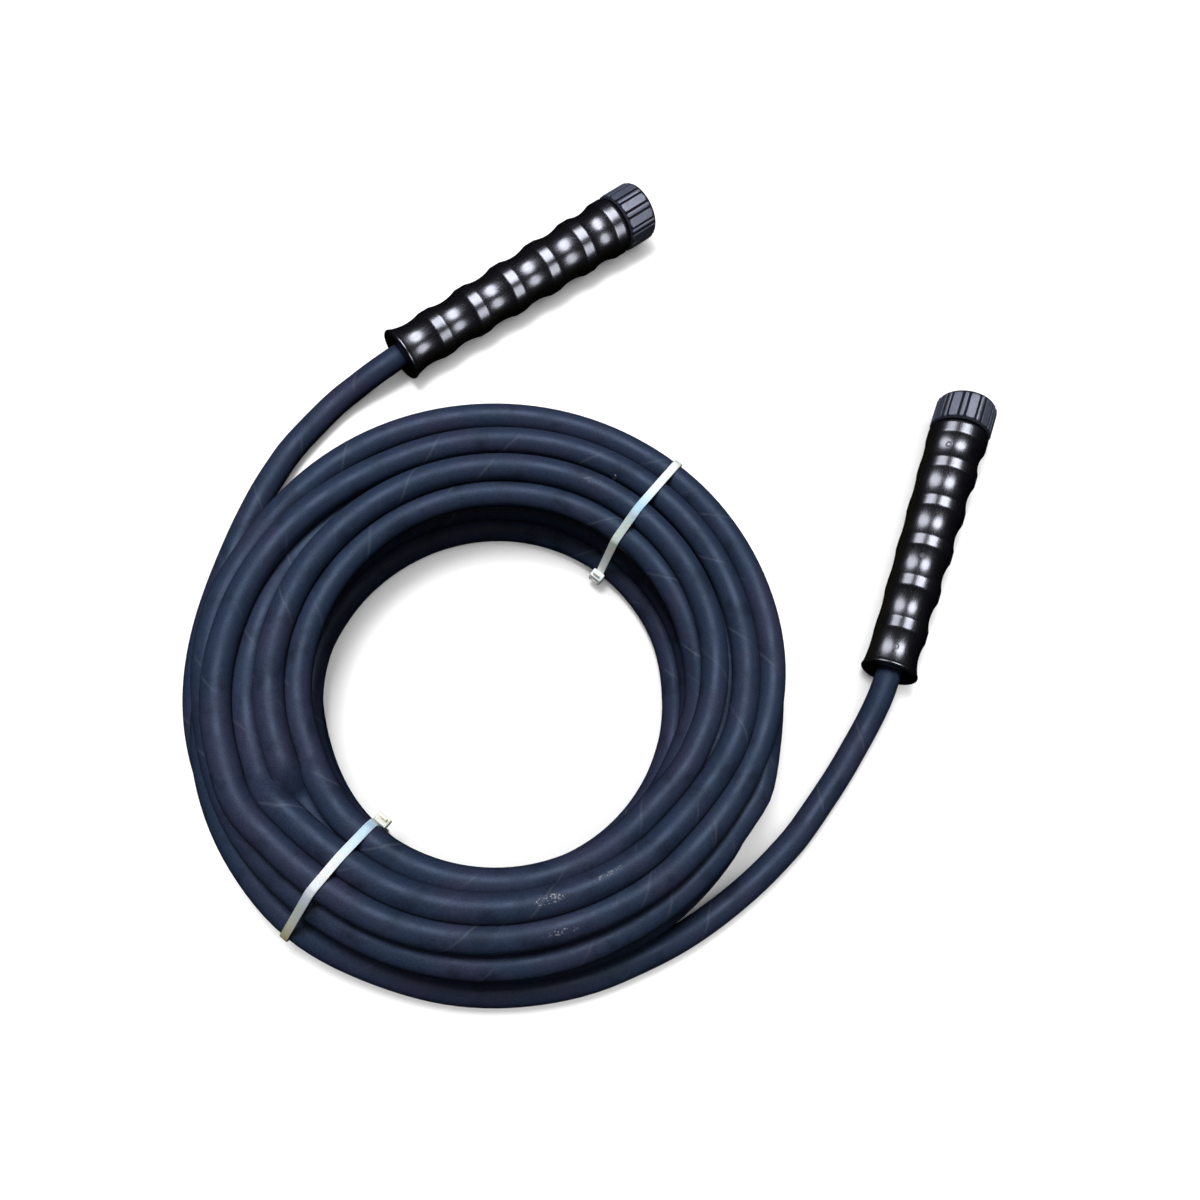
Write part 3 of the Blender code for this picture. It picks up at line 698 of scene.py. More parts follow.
def nut_radius(depth, across, on_top, wide):
    """Radius of a nut so far behind its front face, at a place across one of its ribs."""
    base = rim_radius(depth)
    rounding = RIB_CORNER * abs(across) ** 3 if on_top else 0.0
    rise = ease((depth - RIB_START - rounding) / RIB_FRONT_RAMP)
    rise *= ease((NUT_LENGTH - RIB_END - depth - rounding) / RIB_REAR_RAMP)
    if not on_top:
        return base - RIB_GROOVE_BELOW_RIM * rise
    if wide:
        top = WIDE_RIB_FLAT / cos(across * WIDE_RIB_HALF * 2 * pi / RIB_PAIRS)
    else:
        top = NARROW_RIB_TOP - NARROW_RIB_CROWN * across ** 2
    if abs(across) > RIB_EDGE_FROM:
        top -= RIB_EDGE_FALL
    return base + (top - base) * rise


def nut_mesh(name, first_rib):
    """A ribbed nut: its outside, its front face, the seat of the brass insert and its neck."""
    sides = nut_sides(first_rib)
    rings = []
    for depth in reversed(NUT_RING_DEPTHS):
        ring = []
        for angle, across, on_top, wide in sides:
            r = nut_radius(depth, across, on_top, wide)
            ring.append((r * cos(angle), r * sin(angle), -depth))
        rings.append(ring)
    neck = NECK_DIAMETER / 2 + GAP
    face_end = NUT_FACE[-1][1]
    inside = [
        *NUT_FACE, (INSERT_RADIUS + INSERT_SEAT_EDGE, face_end),
        (INSERT_RADIUS, face_end - INSERT_SEAT_EDGE), (INSERT_RADIUS, -THREAD_DEPTH),
        (neck, -THREAD_DEPTH), (neck, -NUT_LENGTH), (REAR_FACE_RADIUS, -NUT_LENGTH),
    ]
    angles = [angle for angle, *_ in sides]
    rings += [circle(r, z, angles) for r, z in inside]
    return skin(name, rings, sharp=radians(38))


def insert_mesh(name):
    """The brass insert in the nut, with its thread cut as a helix."""
    crest = THREAD_BORE / 2
    outer = INSERT_RADIUS - INSERT_CLEARANCE
    start, end = -INSERT_SETBACK, -THREAD_DEPTH + INSERT_END_GAP
    steps = round((start - end) / THREAD_PITCH * STEPS_PER_THREAD)
    angles = even_angles(TURNED_SIDES)
    rings = [circle(outer, end, angles), circle(outer, start - INSERT_EDGE, angles),
             circle(outer - INSERT_EDGE, start, angles)]
    for i in range(steps + 1):
        z = start + (end - start) * i / steps
        lead_in = max(0.0, 1 - (start - z) / THREAD_LEAD_IN) * THREAD_LEAD_IN
        ring = []
        for a in angles:
            phase = (z / THREAD_PITCH + a / (2 * pi)) % 1.0
            r = crest + max(THREAD_RIDGE * abs(2 * phase - 1), lead_in)
            ring.append((r * cos(a), r * sin(a), z))
        rings.append(ring)
    return skin(name, rings, sharp=radians(25))


def nipple_mesh(name):
    """The turned brass nipple, its edges broken and its tail barbed."""
    start = -PROBE_SETBACK
    probe = PROBE_DIAMETER / 2
    barrel = probe - PROBE_RELIEF
    bore = NIPPLE_BORE / 2
    groove = probe - SEAL_GROOVE_DEPTH
    groove_end = -SEAL_GROOVE_START - SEAL_DIAMETER - 2 * GAP
    collar = COLLAR_DIAMETER / 2
    collar_end = -THREAD_DEPTH + GAP
    collar_start = collar_end + COLLAR_WIDTH
    neck = NECK_DIAMETER / 2
    stem = STEM_DIAMETER / 2
    shoulder_end = -NUT_LENGTH - SLEEVE_GAP - SHOULDER_WIDTH
    tail_start = shoulder_end - FERRULE_WALL - 2 * GAP
    profile = [
        (bore + NIPPLE_CHAMFER, start), (probe - PROBE_NOSE, start),
        (probe - COLLAR_EDGE, start - FINE_EDGE), (barrel, start - NIPPLE_CHAMFER),
        (barrel, -SEAL_GROOVE_START), (groove, -SEAL_GROOVE_START), (groove, groove_end),
        (barrel, groove_end), (barrel, collar_start + COLLAR_EDGE), (probe, collar_start),
        (collar - COLLAR_EDGE, collar_start), (collar, collar_start - COLLAR_EDGE),
        (collar, collar_end + FINE_EDGE), (collar - FINE_EDGE, collar_end), (neck, collar_end),
        (neck, shoulder_end), (stem, shoulder_end), (stem, tail_start),
    ]
    tail = TAIL_DIAMETER / 2
    pitch = TAIL_LENGTH / BARB_COUNT
    for i in range(BARB_COUNT):
        z = tail_start - pitch * i
        profile += [(tail - BARB_HEIGHT, z), (tail, z - pitch / 2), (tail, z - pitch * 0.75)]
    tail_end = tail_start - TAIL_LENGTH
    profile += [(tail - 2 * BARB_HEIGHT, tail_end), (bore, tail_end), (bore, start - NIPPLE_CHAMFER)]
    return turned(name, profile)


def seal_mesh(name):
    radius = SEAL_DIAMETER / 2
    middle = PROBE_DIAMETER / 2 - SEAL_GROOVE_DEPTH + GAP + radius
    height = -SEAL_GROOVE_START - GAP - radius
    profile = [(middle + radius * cos(a), height + radius * sin(a))
               for a in even_angles(SEAL_SIDES)]
    return turned(name, profile, sharp=None)


# Cable ties

def strands_at(angle, wound, place):
    """Radius and height of every strand that passes this angle of the coil."""
    first = int(np.ceil((wound[0] - angle) / 360))
    last = int((wound[-1] - angle) // 360)
    at = angle + 360 * np.arange(first, last + 1)
    return [(float(np.interp(a, wound, place[:, 0])), float(np.interp(a, wound, place[:, 1])))
            for a in at]


def tight_outline(points):
    """The convex outline of the points, anticlockwise."""
    ordered = sorted(points)
    sides = []
    for run in (ordered, ordered[::-1]):
        side = []
        for x, y in run:
            while len(side) > 1 and ((side[-1][0] - side[-2][0]) * (y - side[-2][1])
                                     <= (side[-1][1] - side[-2][1]) * (x - side[-2][0])):
                side.pop()
            side.append((x, y))
        sides += side[:-1]
    return sides


def strap_path(strands):
    """The strap's middle line: tight around all the strands, upright behind its head."""
    reach = HOSE_DIAMETER / 2 + STRAP_SLACK + STRAP_THICKNESS / 2
    points = []
    for radius, height in strands:
        points += [(radius + reach * cos(a), height + reach * sin(a))
                   for a in even_angles(STRAND_SIDES)]
    under = STRAP_THICKNESS / 2 + STRAP_BEND
    inner = min(x for x, _ in points) + STRAP_BEND
    points += [(inner + STRAP_BEND * cos(a), under + STRAP_BEND * sin(a))
               for a in even_angles(BEND_SIDES)]
    outline = [(x, max(z, STRAP_THICKNESS / 2)) for x, z in tight_outline(points)]
    path = []
    for (x0, z0), (x1, z1) in zip(outline, outline[1:] + outline[:1]):
        count = max(1, round(sqrt((x1 - x0) ** 2 + (z1 - z0) ** 2) / STRAP_STEP))
        path += [(x0 + (x1 - x0) * i / count, z0 + (z1 - z0) * i / count) for i in range(count)]
    return path


def strap_mesh(name, path):
    """A flat strap around a closed path in the XZ plane, with rounded edges."""
    half = STRAP_WIDTH / 2
    thick = STRAP_THICKNESS / 2
    outline = [(-half, 0.0), (-half * 0.96, thick * 0.75), (-half * 0.86, thick), (0.0, thick),
               (half * 0.86, thick), (half * 0.96, thick * 0.75), (half, 0.0),
               (half * 0.92, -thick), (0.0, -thick), (-half * 0.92, -thick)]
    count = len(path)
    rings = []
    for i in range(count):
        before, after = Vector(path[i - 1]), Vector(path[(i + 1) % count])
        along = (after - before).normalized()
        outward = Vector((along.y, -along.x))
        x, z = path[i]
        rings.append([(x + outward.x * out, across, z + outward.y * out)
                      for across, out in outline])
    return skin(name, rings, sharp=radians(35))


def rounded_box(bm, size, place, edge):
    """A box with rounded edges, as a block moulded in one piece."""
    made = bmesh.ops.create_cube(bm, size=1.0, matrix=place @ Matrix.Diagonal((*size, 1.0)))
    edges = list({e for v in made["verts"] for e in v.link_edges})
    bmesh.ops.bevel(bm, geom=edges, offset=edge, segments=3, affect="EDGES", profile=0.5)


def sink_window(bm, direction, margin, depth):
    """Sink a window into the largest face that looks this way, inside a margin."""
    facing = [face for face in bm.faces if face.normal.dot(direction) > 0.9]
    window = max(facing, key=lambda face: face.calc_area())
    bmesh.ops.inset_region(bm, faces=[window], thickness=margin, depth=0.0)
    bmesh.ops.inset_region(bm, faces=[window], thickness=WINDOW_WALL, depth=-depth)


def tie_head_mesh(name, middle, height):
    """The tie's head: a block with a slot, the pawl behind it and the cut-off end of the strap."""
    bm = bmesh.new()
    depth, _, length = HEAD_SIZE
    rounded_box(bm, HEAD_SIZE, Matrix.Translation((middle, 0.0, height)), HEAD_EDGE)
    sink_window(bm, Vector((0, 0, 1)), SLOT_MARGIN, SLOT_DEPTH)
    sink_window(bm, Vector((-1, 0, 0)), PAWL_MARGIN, PAWL_DEPTH)
    stub = (STRAP_THICKNESS, STRAP_WIDTH * STUB_WIDTH_SHARE, length / 2 + STUB_LENGTH)
    stub_place = Matrix.Translation((middle - depth / 4, 0.0, height + stub[2] / 2))
    rounded_box(bm, stub, stub_place, STUB_EDGE)
    mesh = bpy.data.meshes.new(name)
    bm.to_mesh(mesh)
    bm.free()
    mesh.shade_smooth()
    mesh.set_sharp_from_angle(angle=radians(35))
    return mesh


def joined(name, meshes):
    """One mesh from several."""
    bm = bmesh.new()
    for mesh in meshes:
        bm.from_mesh(mesh)
    result = bpy.data.meshes.new(name)
    bm.to_mesh(result)
    bm.free()
    return result


def add_tie(side, angle, head_place, wound, place, material):
    name = "cable_tie_" + side
    path = strap_path(strands_at(angle, wound, place))
    inner = min(x for x, _ in path) - STRAP_THICKNESS / 2
    lowest = HOSE_DIAMETER / 2 + STRAP_ROOM
    height = lowest + head_place * (HOSE_DIAMETER / 2 + LAYERS_HEIGHT - lowest)
    head = tie_head_mesh(name + "_head", inner + STRAP_THICKNESS / 2 - HEAD_SIZE[0] / 2, height)
    mesh = joined("nylon_tie_" + side, [strap_mesh(name + "_strap", path), head])
    turn = Matrix.Translation(COIL_CENTRE) @ Matrix.Rotation(radians(angle), 4, "Z")
    tie = new_object("nylon_tie_" + side, mesh, "hose", material, turn)
    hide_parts(name)
    return tie


# Materials

class Graph:
    """Adds nodes to a node tree, each with its inputs set or joined to an output."""

    def __init__(self, tree):
        self.tree = tree

    def add(self, kind, inputs=None, **settings):
        node = self.tree.nodes.new(kind)
        node.location.x = NODE_SPACING * len(self.tree.nodes)
        for key, value in settings.items():
            setattr(node, key, value)
        for key, value in (inputs or {}).items():
            if isinstance(value, bpy.types.NodeSocket):
                self.tree.links.new(value, node.inputs[key])
            else:
                node.inputs[key].default_value = value
        return node

    def maths(self, operation, first, second=0.0, clamp=False):
        node = self.add("ShaderNodeMath", {0: first, 1: second}, operation=operation)
        node.use_clamp = clamp
        return node.outputs[0]

    def blend(self, share, first, second, kind="MIX"):
        """Mix two colours, which are the mixing node's inputs 6 and 7."""
        node = self.add("ShaderNodeMix", {"Factor": share, 6: first, 7: second},
                        data_type="RGBA", blend_type=kind)
        return node.outputs[2]

    def noise(self, vector, scale, detail=3.0, roughness=0.55):
        return self.add("ShaderNodeTexNoise", {"Vector": vector, "Scale": scale, "Detail": detail,
                                               "Roughness": roughness}).outputs["Fac"]

    def between(self, value, low, high, to_low=0.0, to_high=1.0):
        """Bring a value's range onto another, clamped, with soft ends."""
        node = self.add("ShaderNodeMapRange", {"Value": value, "From Min": low, "From Max": high,
                                               "To Min": to_low, "To Max": to_high},
                        interpolation_type="SMOOTHSTEP")
        return node.outputs["Result"]

    def vector_maths(self, operation, first, second=None):
        """A vector result, or the number that a length or a distance gives."""
        given = {0: first} if second is None else {0: first, 1: second}
        node = self.add("ShaderNodeVectorMath", given, operation=operation)
        return node.outputs["Value" if operation in ("LENGTH", "DISTANCE") else "Vector"]

    def parts(self, vector):
        return self.add("ShaderNodeSeparateXYZ", {0: vector}).outputs

    def scaled(self, vector, scale):
        return self.add("ShaderNodeMapping", {"Vector": vector, "Scale": scale}).outputs[0]

    def group(self, tree, inputs, output):
        return self.add("ShaderNodeGroup", inputs, node_tree=tree).outputs[output]

    def join(self, source, target, socket):
        self.tree.links.new(source, target[socket])


def new_group(name, inputs, outputs):
    """An empty node group with named inputs (name: (type, value)) and outputs (name: type)."""
    tree = bpy.data.node_groups.new(name, "ShaderNodeTree")
    for key, (kind, value) in inputs.items():
        socket = tree.interface.new_socket(key, in_out="INPUT", socket_type="NodeSocket" + kind)
        if value is not None:
            socket.default_value = value
    for key, kind in outputs.items():
        tree.interface.new_socket(key, in_out="OUTPUT", socket_type="NodeSocket" + kind)
    graph = Graph(tree)
    return tree, graph, graph.add("NodeGroupInput").outputs, graph.add("NodeGroupOutput").inputs


def mottled_colour_group():
    """Three colours that drift into each other in patches, with a fine grain over them."""
    tree, g, given, out = new_group("Mottled colour", {
        "Vector": ("Vector", None), "Main Colour": ("Color", (0.5, 0.5, 0.5, 1)),
        "Patch Colour": ("Color", (0.5, 0.5, 0.5, 1)), "Dark Colour": ("Color", (0.1, 0.1, 0.1, 1)),
        "Patch Scale": ("Float", 20.0), "Grain Scale": ("Float", 900.0),
        "Grain Strength": ("Float", 0.15)}, {"Colour": "Color"})
    patches = g.between(g.noise(given["Vector"], given["Patch Scale"]), 0.40, 0.66)
    mixed = g.blend(patches, given["Main Colour"], given["Patch Colour"])
    dark_scale = g.maths("MULTIPLY", given["Patch Scale"], 2.7)
    dark = g.between(g.noise(given["Vector"], dark_scale, 4.0), 0.50, 0.72, 0.0, 0.75)
    mixed = g.blend(dark, mixed, given["Dark Colour"])
    grain = g.between(g.noise(given["Vector"], given["Grain Scale"], 2.0), 0.3, 0.7, -1.0, 1.0)
    grain = g.maths("ADD", g.maths("MULTIPLY", grain, given["Grain Strength"]), 1.0)
    shade = g.add("ShaderNodeCombineColor", {"Red": grain, "Green": grain, "Blue": grain})
    g.join(g.blend(1.0, mixed, shade.outputs[0], "MULTIPLY"), out, "Colour")
    return tree


def fine_bumps_group():
    """A grain of small bumps, and broader ones under it."""
    tree, g, given, out = new_group("Fine bumps", {
        "Vector": ("Vector", None), "Fine Scale": ("Float", 1500.0),
        "Broad Scale": ("Float", 120.0), "Height": ("Float", 0.00004), "Extra": ("Float", 0.0)},
        {"Normal": "Vector"})
    fine = g.noise(given["Vector"], given["Fine Scale"], 2.0)
    broad = g.noise(given["Vector"], given["Broad Scale"], 2.0)
    height = g.maths("ADD", fine, g.maths("MULTIPLY", broad, 2.0))
    height = g.maths("ADD", height, given["Extra"])
    bump = g.add("ShaderNodeBump", {"Height": height, "Distance": given["Height"], "Strength": 1.0})
    g.join(bump.outputs[0], out, "Normal")
    return tree


def wrap_marks_group():
    """Thin slanting lines that the wrapping tape leaves on the cover, broken here and there."""
    tree, g, given, out = new_group("Wrap marks", {
        "UV": ("Vector", None), "Lines Around": ("Float", 1.0), "Lines Along": ("Float", 1.0),
        "Width": ("Float", 0.04), "Gaps": ("Float", 0.5)}, {"Mask": "Float"})
    parts = g.parts(given["UV"])
    along = g.maths("MULTIPLY", parts[0], given["Lines Along"])
    around = g.maths("MULTIPLY", parts[1], given["Lines Around"])
    wave = g.maths("FRACT", g.maths("SUBTRACT", around, along))
    away = g.maths("ABSOLUTE", g.maths("SUBTRACT", wave, 0.5))
    from_line = g.maths("SUBTRACT", 0.5, away)
    line = g.maths("SUBTRACT", 1.0, g.maths("DIVIDE", from_line, given["Width"]), clamp=True)
    drift = g.noise(given["UV"], 1.3, 2.0)
    kept = g.maths("SUBTRACT", drift, g.maths("MULTIPLY", given["Gaps"], 0.2))
    shown = g.between(kept, 0.36, 0.50)
    g.join(g.maths("MULTIPLY", line, shown), out, "Mask")
    return tree


def scuff_group():
    """Pale specks in an oval patch around one place."""
    tree, g, given, out = new_group("Scuff", {
        "Vector": ("Vector", None), "Place": ("Vector", None), "Turn": ("Vector", None),
        "Size": ("Vector", (0.01, 0.01, 0.01)), "Strength": ("Float", 1.0)}, {"Mask": "Float"})
    offset = g.vector_maths("SUBTRACT", given["Vector"], given["Place"])
    turned_back = g.add("ShaderNodeVectorRotate", {"Vector": offset, "Rotation": given["Turn"]},
                        rotation_type="EULER_XYZ", invert=True).outputs[0]
    reach = g.vector_maths("LENGTH", g.vector_maths("DIVIDE", turned_back, given["Size"]))
    patch = g.between(reach, 0.25, 0.5, 1.0, 0.0)
    specks = g.noise(given["Vector"], 1000.0, 3.0, 0.7)
    clumps = g.noise(given["Vector"], 260.0, 2.0)
    specks = g.maths("ADD", specks, g.maths("MULTIPLY", clumps, 0.4))
    specks = g.between(g.maths("ADD", specks, g.maths("MULTIPLY", patch, 0.08)), 0.79, 0.95)
    specks = g.maths("MULTIPLY", patch, specks)
    g.join(g.maths("MULTIPLY", specks, given["Strength"]), out, "Mask")
    return tree


def new_material(name, **values):
    """A material whose shader has these constant values, with its tree to build on."""
    material = bpy.data.materials.new(name)
    material.use_nodes = True
    shader = material.node_tree.nodes["Principled BSDF"].inputs
    for key, value in values.items():
        socket = shader[key.replace("_", " ")]
        socket.default_value = (*value, 1.0) if isinstance(value, tuple) else value
    graph = Graph(material.node_tree)
    position = graph.add("ShaderNodeTexCoord").outputs["Object"]
    return material, graph, shader, position


def mottled(g, groups, vector, colours, patch_scale, grain_scale, grain):
    """The mottled colour of a main, a patch and a dark colour."""
    main, patch, dark = colours
    return g.group(groups["mottle"], {
        "Vector": vector, "Main Colour": (*main, 1), "Patch Colour": (*patch, 1),
        "Dark Colour": (*dark, 1), "Patch Scale": patch_scale, "Grain Scale": grain_scale,
        "Grain Strength": grain}, "Colour")


def add_bumps(g, groups, shader, vector, fine_scale, broad_scale, height, extra=0.0):
    normal = g.group(groups["bumps"], {
        "Vector": vector, "Fine Scale": fine_scale, "Broad Scale": broad_scale,
        "Height": height, "Extra": extra}, "Normal")
    g.join(normal, shader, "Normal")


def uneven_gloss(g, vector, scale, low, high):
    """A roughness that drifts between two values."""
    return g.between(g.noise(vector, scale), 0.3, 0.7, low, high)


def hose_material(groups):
    material, g, shader, position = new_material("Wrapped black rubber", IOR=1.45)
    uv = g.add("ShaderNodeUVMap", uv_map="UVMap").outputs[0]
    colour = mottled(g, groups, position, HOSE_COLOURS, 24.0, 1300.0, 0.22)
    marks, more_marks = [
        g.group(groups["wrap"], {"UV": uv, "Lines Around": around, "Lines Along": along,
                                 "Width": width, "Gaps": gaps}, "Mask")
        for around, along, width, gaps in WRAP_MARKS]
    marks = g.maths("ADD", marks, g.maths("MULTIPLY", more_marks, 0.45), clamp=True)
    colour = g.blend(g.maths("MULTIPLY", marks, 0.45), colour, WRAP_MARK_COLOUR)
    scuffs = 0.0
    for angle, radius, height, length, width, strength in SCUFFS:
        place = polar_point(angle, radius / 1000, height / 1000)
        mask = g.group(groups["scuff"], {
            "Vector": position, "Place": tuple(place), "Turn": (0.0, 0.0, radians(angle)),
            "Size": (width / 1000, length / 1000, SCUFF_HEIGHT), "Strength": strength}, "Mask")
        scuffs = g.maths("ADD", mask, scuffs, clamp=True)
    g.join(g.blend(scuffs, colour, SCUFF_COLOUR), shader, "Base Color")
    worn = g.between(g.noise(position, 60.0), 0.35, 0.65, 0.43, 0.55)
    g.join(g.maths("ADD", worn, g.maths("MULTIPLY", scuffs, 0.2)), shader, "Roughness")
    add_bumps(g, groups, shader, position, 1400.0, 90.0, 0.00008, g.maths("MULTIPLY", marks, 0.9))
    return material


def ring_mark_group():
    """A thin ring around one place, as a bubble in the moulding leaves it."""
    tree, g, given, out = new_group("Ring mark", {
        "Vector": ("Vector", None), "Place": ("Vector", None), "Radius": ("Float", 0.002),
        "Width": ("Float", 0.0006), "Strength": ("Float", 1.0)}, {"Mask": "Float"})
    reach = g.vector_maths("DISTANCE", given["Vector"], given["Place"])
    uneven = g.maths("MULTIPLY", g.noise(given["Vector"], 700.0, 2.0), 0.0008)
    away = g.maths("ABSOLUTE", g.maths("SUBTRACT", g.maths("ADD", reach, uneven), given["Radius"]))
    line = g.maths("SUBTRACT", 1.0, g.maths("DIVIDE", away, given["Width"]), clamp=True)
    g.join(g.maths("MULTIPLY", line, given["Strength"], clamp=True), out, "Mask")
    return tree


def sleeve_material(name, groups, grip, ring_marks):
    """Gloss black plastic, worked out in the grip's own directions, with a painted reflection below.
    """
    material, g, shader, world = new_material(name, IOR=1.80)
    position = g.add("ShaderNodeMapping", {
        "Vector": world, "Location": tuple(grip.translation), "Rotation": tuple(grip.to_euler())},
        vector_type="TEXTURE").outputs[0]
    colour = mottled(g, groups, position, SLEEVE_COLOURS, 30.0, 1200.0, 0.10)
    # Painted reflection: the sleeve's lower side turns olive, as the floor's reflection would
    painted_reflection = g.between(g.parts(position)[0], *UNDERSIDE_REFLECTION_FADE, 0.0, 0.5)
    colour = g.blend(painted_reflection, colour, UNDERSIDE_REFLECTION_COLOUR)
    marks = 0.0
    for along, angle, radius, width, strength in ring_marks:
        turn = radians(angle)
        reach = sleeve_radius(along / 1000, turn, SHALLOW_SIDE_B)
        mark = (reach * cos(turn), reach * sin(turn), along / 1000 - GRIP_LENGTH)
        mask = g.group(groups["ring"], {"Vector": position, "Place": mark, "Radius": radius / 1000,
                                        "Width": width / 1000, "Strength": strength}, "Mask")
        marks = g.maths("ADD", mask, marks, clamp=True)
    g.join(g.blend(marks, colour, RING_MARK_COLOUR), shader, "Base Color")
    rough = uneven_gloss(g, g.scaled(position, (6.0, 6.0, 0.6)), 220.0, 0.22, 0.28)
    g.join(g.maths("ADD", rough, g.maths("MULTIPLY", marks, 0.4)), shader, "Roughness")
    add_bumps(g, groups, shader, position, 600.0, 90.0, 0.000004,
              g.maths("MULTIPLY", marks, -20.0))
    return material


def nut_material(groups):
    """Satin grey plastic, with painted shade between the ribs, and dull there."""
    material, g, shader, position = new_material("Satin grey plastic", IOR=1.52)
    colour = mottled(g, groups, position, NUT_COLOURS, 160.0, 2200.0, 0.14)
    from_axis = g.vector_maths("LENGTH", g.vector_maths("MULTIPLY", position, (1.0, 1.0, 0.0)))
    raised = g.between(from_axis, RIM_RADIUS + 0.0002, WIDE_RIB_FLAT - 0.0001)
    # Painted shade: the colour turns near black in the grooves between the ribs
    g.join(g.blend(raised, NUT_GROOVE_PAINTED_SHADE, colour), shader, "Base Color")
    rough = uneven_gloss(g, position, 400.0, 0.36, 0.46)
    in_groove = g.maths("MULTIPLY", g.maths("SUBTRACT", 1.0, raised), 0.95)
    g.join(g.maths("MAXIMUM", rough, in_groove), shader, "Roughness")
    add_bumps(g, groups, shader, position, 2600.0, 300.0, 0.00002)
    return material


def metal_material(name, groups, colours, roughness):
    """Metal with the rings that turning leaves on it."""
    material, g, shader, position = new_material(name, Metallic=1.0)
    g.join(mottled(g, groups, position, colours, 150.0, 2500.0, 0.08), shader, "Base Color")
    rings = g.scaled(position, (0.4, 0.4, 9.0))
    g.join(uneven_gloss(g, rings, 300.0, roughness - 0.06, roughness + 0.08), shader, "Roughness")
    add_bumps(g, groups, shader, rings, 700.0, 100.0, 0.000012)
    return material


def seal_material(groups):
    material, g, shader, position = new_material("Seal rubber", Roughness=0.45)
    g.join(mottled(g, groups, position, SEAL_COLOURS, 300.0, 3000.0, 0.1), shader, "Base Color")
    return material


def tie_material(name, groups, painted_shading):
    """Milky nylon with painted light and shade along the strap, by its distance from the coil's
    middle.
    """
    material, g, shader, position = new_material(
        name, IOR=1.53, Subsurface_Weight=0.25, Subsurface_Scale=0.0015)
    outwards = g.parts(position)[0]
    # Painted light and shade: the strap's colour follows its distance from the coil's middle
    linear = g.add("ShaderNodeMapRange", {"Value": outwards, "From Min": PAINTED_SHADING_START / 1000,
                                          "From Max": PAINTED_SHADING_END / 1000}).outputs[0]
    ramp = g.add("ShaderNodeValToRGB", {"Fac": linear})
    stops = ramp.color_ramp.elements
    for i, (radius, colour) in enumerate(painted_shading):
        at = (radius - PAINTED_SHADING_START) / (PAINTED_SHADING_END - PAINTED_SHADING_START)
        stop = stops[i] if i < 2 else stops.new(at)
        stop.position = at
        stop.color = (*colour, 1)
    cloudy = mottled(g, groups, position, NYLON_CLOUDS, 180.0, 1500.0, 0.03)
    g.join(g.blend(1.0, ramp.outputs[0], cloudy, "MULTIPLY"), shader, "Base Color")
    g.join(uneven_gloss(g, position, 300.0, 0.34, 0.48), shader, "Roughness")
    teeth = g.maths("SINE", g.maths("MULTIPLY", outwards, 2 * pi / TOOTH_PITCH))
    add_bumps(g, groups, shader, position, 1200.0, 200.0, 0.00003,
              g.maths("MULTIPLY", teeth, 0.8))
    return material


# Studio

def add_camera():
    forward = (CAMERA_LOOKS_AT - CAMERA_PLACE).normalized()
    right = forward.cross(Vector((0, 1, 0))).normalized()
    right = Matrix.Rotation(CAMERA_ROLL, 3, forward) @ right
    up = right.cross(forward)
    camera = add_object("Camera", bpy.data.cameras.new("Camera"))
    turn = Matrix((right, up, -forward)).transposed()
    camera.matrix_world = Matrix.Translation(CAMERA_PLACE) @ turn.to_4x4()
    camera.data.lens = LENS
    camera.data.sensor_width = SENSOR_WIDTH
    camera.data.clip_start = CLIP_START
    bpy.context.scene.camera = camera


def add_panel(name, target, place, size, brightness, across=None, shape="RECTANGLE"):
    """A soft light panel of an even brightness, facing its target, one side along a direction."""
    data = bpy.data.lights.new(name, "AREA")
    data.shape = shape
    data.size, data.size_y = size
    data.energy = brightness * pi * size[0] * size[1]
    light = add_object(name, data)
    back = (Vector(place) - Vector(target)).normalized()
    side = across or Vector((1, 0, 0))
    side = (side - back * side.dot(back)).normalized()
    turn = Matrix((side, back.cross(side), back)).transposed()
    light.matrix_world = Matrix.Translation(place) @ turn.to_4x4()
    return light


def add_grip_panel(name, grip, tilt, spread, brightness, pieces):
    """A panel that a grip mirrors to the camera on a strip along its side, at this tilt."""
    middle = grip @ Vector((0.0, 0.0, -GRIP_LENGTH * PANEL_AIM_SHARE))
    axis = grip.to_3x3() @ Vector((0, 0, 1))
    view = (CAMERA_PLACE - middle).normalized()
    facing = (view - axis * view.dot(axis)).normalized()
    normal = Matrix.Rotation(radians(tilt), 3, axis) @ facing
    towards = 2 * normal * normal.dot(view) - view
    size = (PANEL_WIDTH, 2 * PANEL_DISTANCE * tan(radians(2 * spread)))
    panel = add_panel(name, middle, middle + towards * PANEL_DISTANCE, size, brightness, axis,
                      "ELLIPSE")
    panel.data.color = PANEL_TINT
    panel.visible_diffuse = False
    light_only(panel, pieces)


def light_only(light, pieces):
    """Let a light shine on these pieces alone."""
    only = bpy.data.collections.new(light.name + " lights")
    for piece in pieces:
        only.objects.link(piece)
    light.light_linking.receiver_collection = only


def add_floor():
    """A pale floor that the camera sees, but that gives nothing to mirrored or bounced rays."""
    mesh = bpy.data.meshes.new("floor")
    corners = ((-1, -1), (1, -1), (1, 1), (-1, 1))
    mesh.from_pydata([(x * FLOOR_HALF, y * FLOOR_HALF, 0) for x, y in corners], [], [(0, 1, 2, 3)])
    floor = add_object("floor", mesh)
    floor.location.z = -FLOOR_GAP
    paint, *_ = new_material("pale floor", Base_Color=FLOOR_COLOUR, Roughness=0.8,
                             Specular_IOR_Level=0.0)
    mesh.materials.append(paint)
    floor.visible_glossy = False
    floor.visible_diffuse = False
    return floor


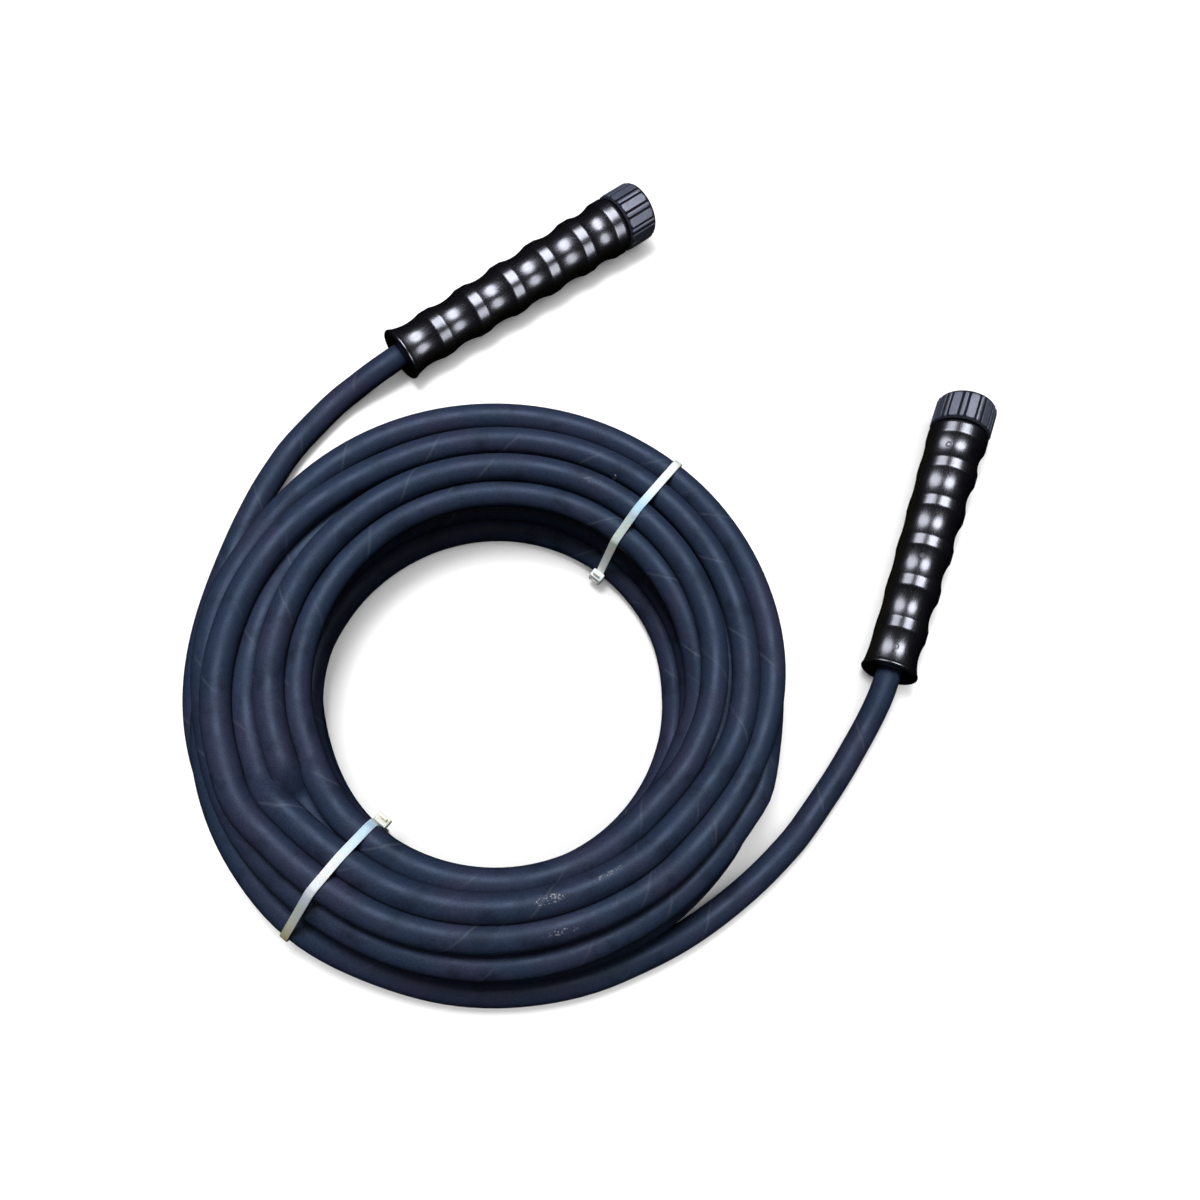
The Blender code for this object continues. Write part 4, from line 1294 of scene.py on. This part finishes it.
def set_backdrop():
    """A pale world that only the camera sees."""
    scene = bpy.context.scene
    scene.view_settings.view_transform = "Standard"
    world = scene.world or bpy.data.worlds.new("World")
    scene.world = world
    world.use_nodes = True
    background = world.node_tree.nodes["Background"].inputs
    background["Color"].default_value = BACKDROP_COLOUR
    background["Strength"].default_value = 1.0
    world.cycles_visibility.diffuse = False
    world.cycles_visibility.glossy = False


def add_studio(pieces):
    floor = add_floor()
    set_backdrop()
    key = add_panel("key light", LIGHTS_AIM, *KEY_LIGHT)
    fill = add_panel("fill light", LIGHTS_AIM, *FILL_LIGHT)
    glow = add_panel("floor light", LIGHTS_AIM, *FLOOR_LIGHT)
    light_only(glow, [floor] + pieces["ties"])
    for light in (key, fill, glow):
        light.visible_glossy = False
    for side, panels in GRIP_PANELS.items():
        for i, (tilt, spread, brightness) in enumerate(panels):
            add_grip_panel("panel %s %d" % (side, i), places[side], tilt, spread, brightness,
                           pieces[side])
    over = add_panel("panel over the coil", COIL_CENTRE, *COIL_PANEL)
    over.data.color = COIL_PANEL_TINT
    over.visible_diffuse = False
    light_only(over, pieces["coil"])


# Build

def dress(node, material):
    """Give a CAD node that stays in the scene its material."""
    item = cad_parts[node]
    item.data.materials.clear()
    item.data.materials.append(material)


add_camera()
groups = {"mottle": mottled_colour_group(), "bumps": fine_bumps_group(),
          "wrap": wrap_marks_group(), "scuff": scuff_group(), "ring": ring_mark_group()}
places = {"a": grip_place(LIP_A, HEADING_A), "b": grip_place(LIP_B, HEADING_B)}
wound, place = settle_coil()
line = hose_line(places["a"], places["b"], wound, place)
mesh, hose_length = tube_mesh("hose", line, HOSE_DIAMETER / 2, HOSE_SIDES)
print("hose length", round(hose_length, 3), "points", len(line))
hose = new_object("hose", mesh, "hose", hose_material(groups))
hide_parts("hose_coil", "hose_tail_a", "hose_tail_b")

nut_plastic = nut_material(groups)
brass = metal_material("Turned brass", groups, BRASS_COLOURS, 0.26)
steel = metal_material("Plated steel", groups, STEEL_COLOURS, 0.32)
seal = seal_material(groups)
with_hose = []
lit = {}
for side, first_rib, shallow_side, ring_marks in (("a", FIRST_RIB_A, SHALLOW_SIDE_A, ()),
                                                  ("b", FIRST_RIB_B, SHALLOW_SIDE_B, RING_MARKS_B)):
    at = places[side]
    mesh = sleeve_mesh("grip_" + side, shallow_side)
    mesh.transform(at)
    sleeve = new_object("grip_" + side, mesh, "hose",
                        sleeve_material("Gloss black plastic " + side, groups, at, ring_marks))
    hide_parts("grip_sleeve_" + side)
    nut = new_object("ribbed_nut_" + side, nut_mesh("ribbed_nut_" + side, first_rib),
                     "nut_" + side, nut_plastic, at)
    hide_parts("swivel_nut_" + side)
    insert = new_object("brass_thread_" + side, insert_mesh("brass_thread_" + side),
                        "nut_" + side, brass, at)
    nipple = new_object("brass_nipple_" + side, nipple_mesh("brass_nipple_" + side), "hose",
                        brass, at)
    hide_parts("nipple_" + side)
    ring = new_object("seal_ring_" + side, seal_mesh("seal_ring_" + side), "hose", seal, at)
    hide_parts("o_ring_" + side)
    dress("ferrule_" + side, steel)
    lit[side] = [sleeve, nut, insert, nipple, ring]
    with_hose += lit[side] + [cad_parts["ferrule_" + side]]

ties = [add_tie(side, angle, head_place, wound, place,
                tie_material("Milky nylon " + side, groups, painted_shading))
        for side, angle, head_place, painted_shading in zip("ab", TIE_ANGLES, TIE_HEAD_PLACES,
                                                  (PAINTED_SHADING_A, PAINTED_SHADING_B))]

lit["ties"] = ties
lit["coil"] = [hose] + ties
add_studio(lit)
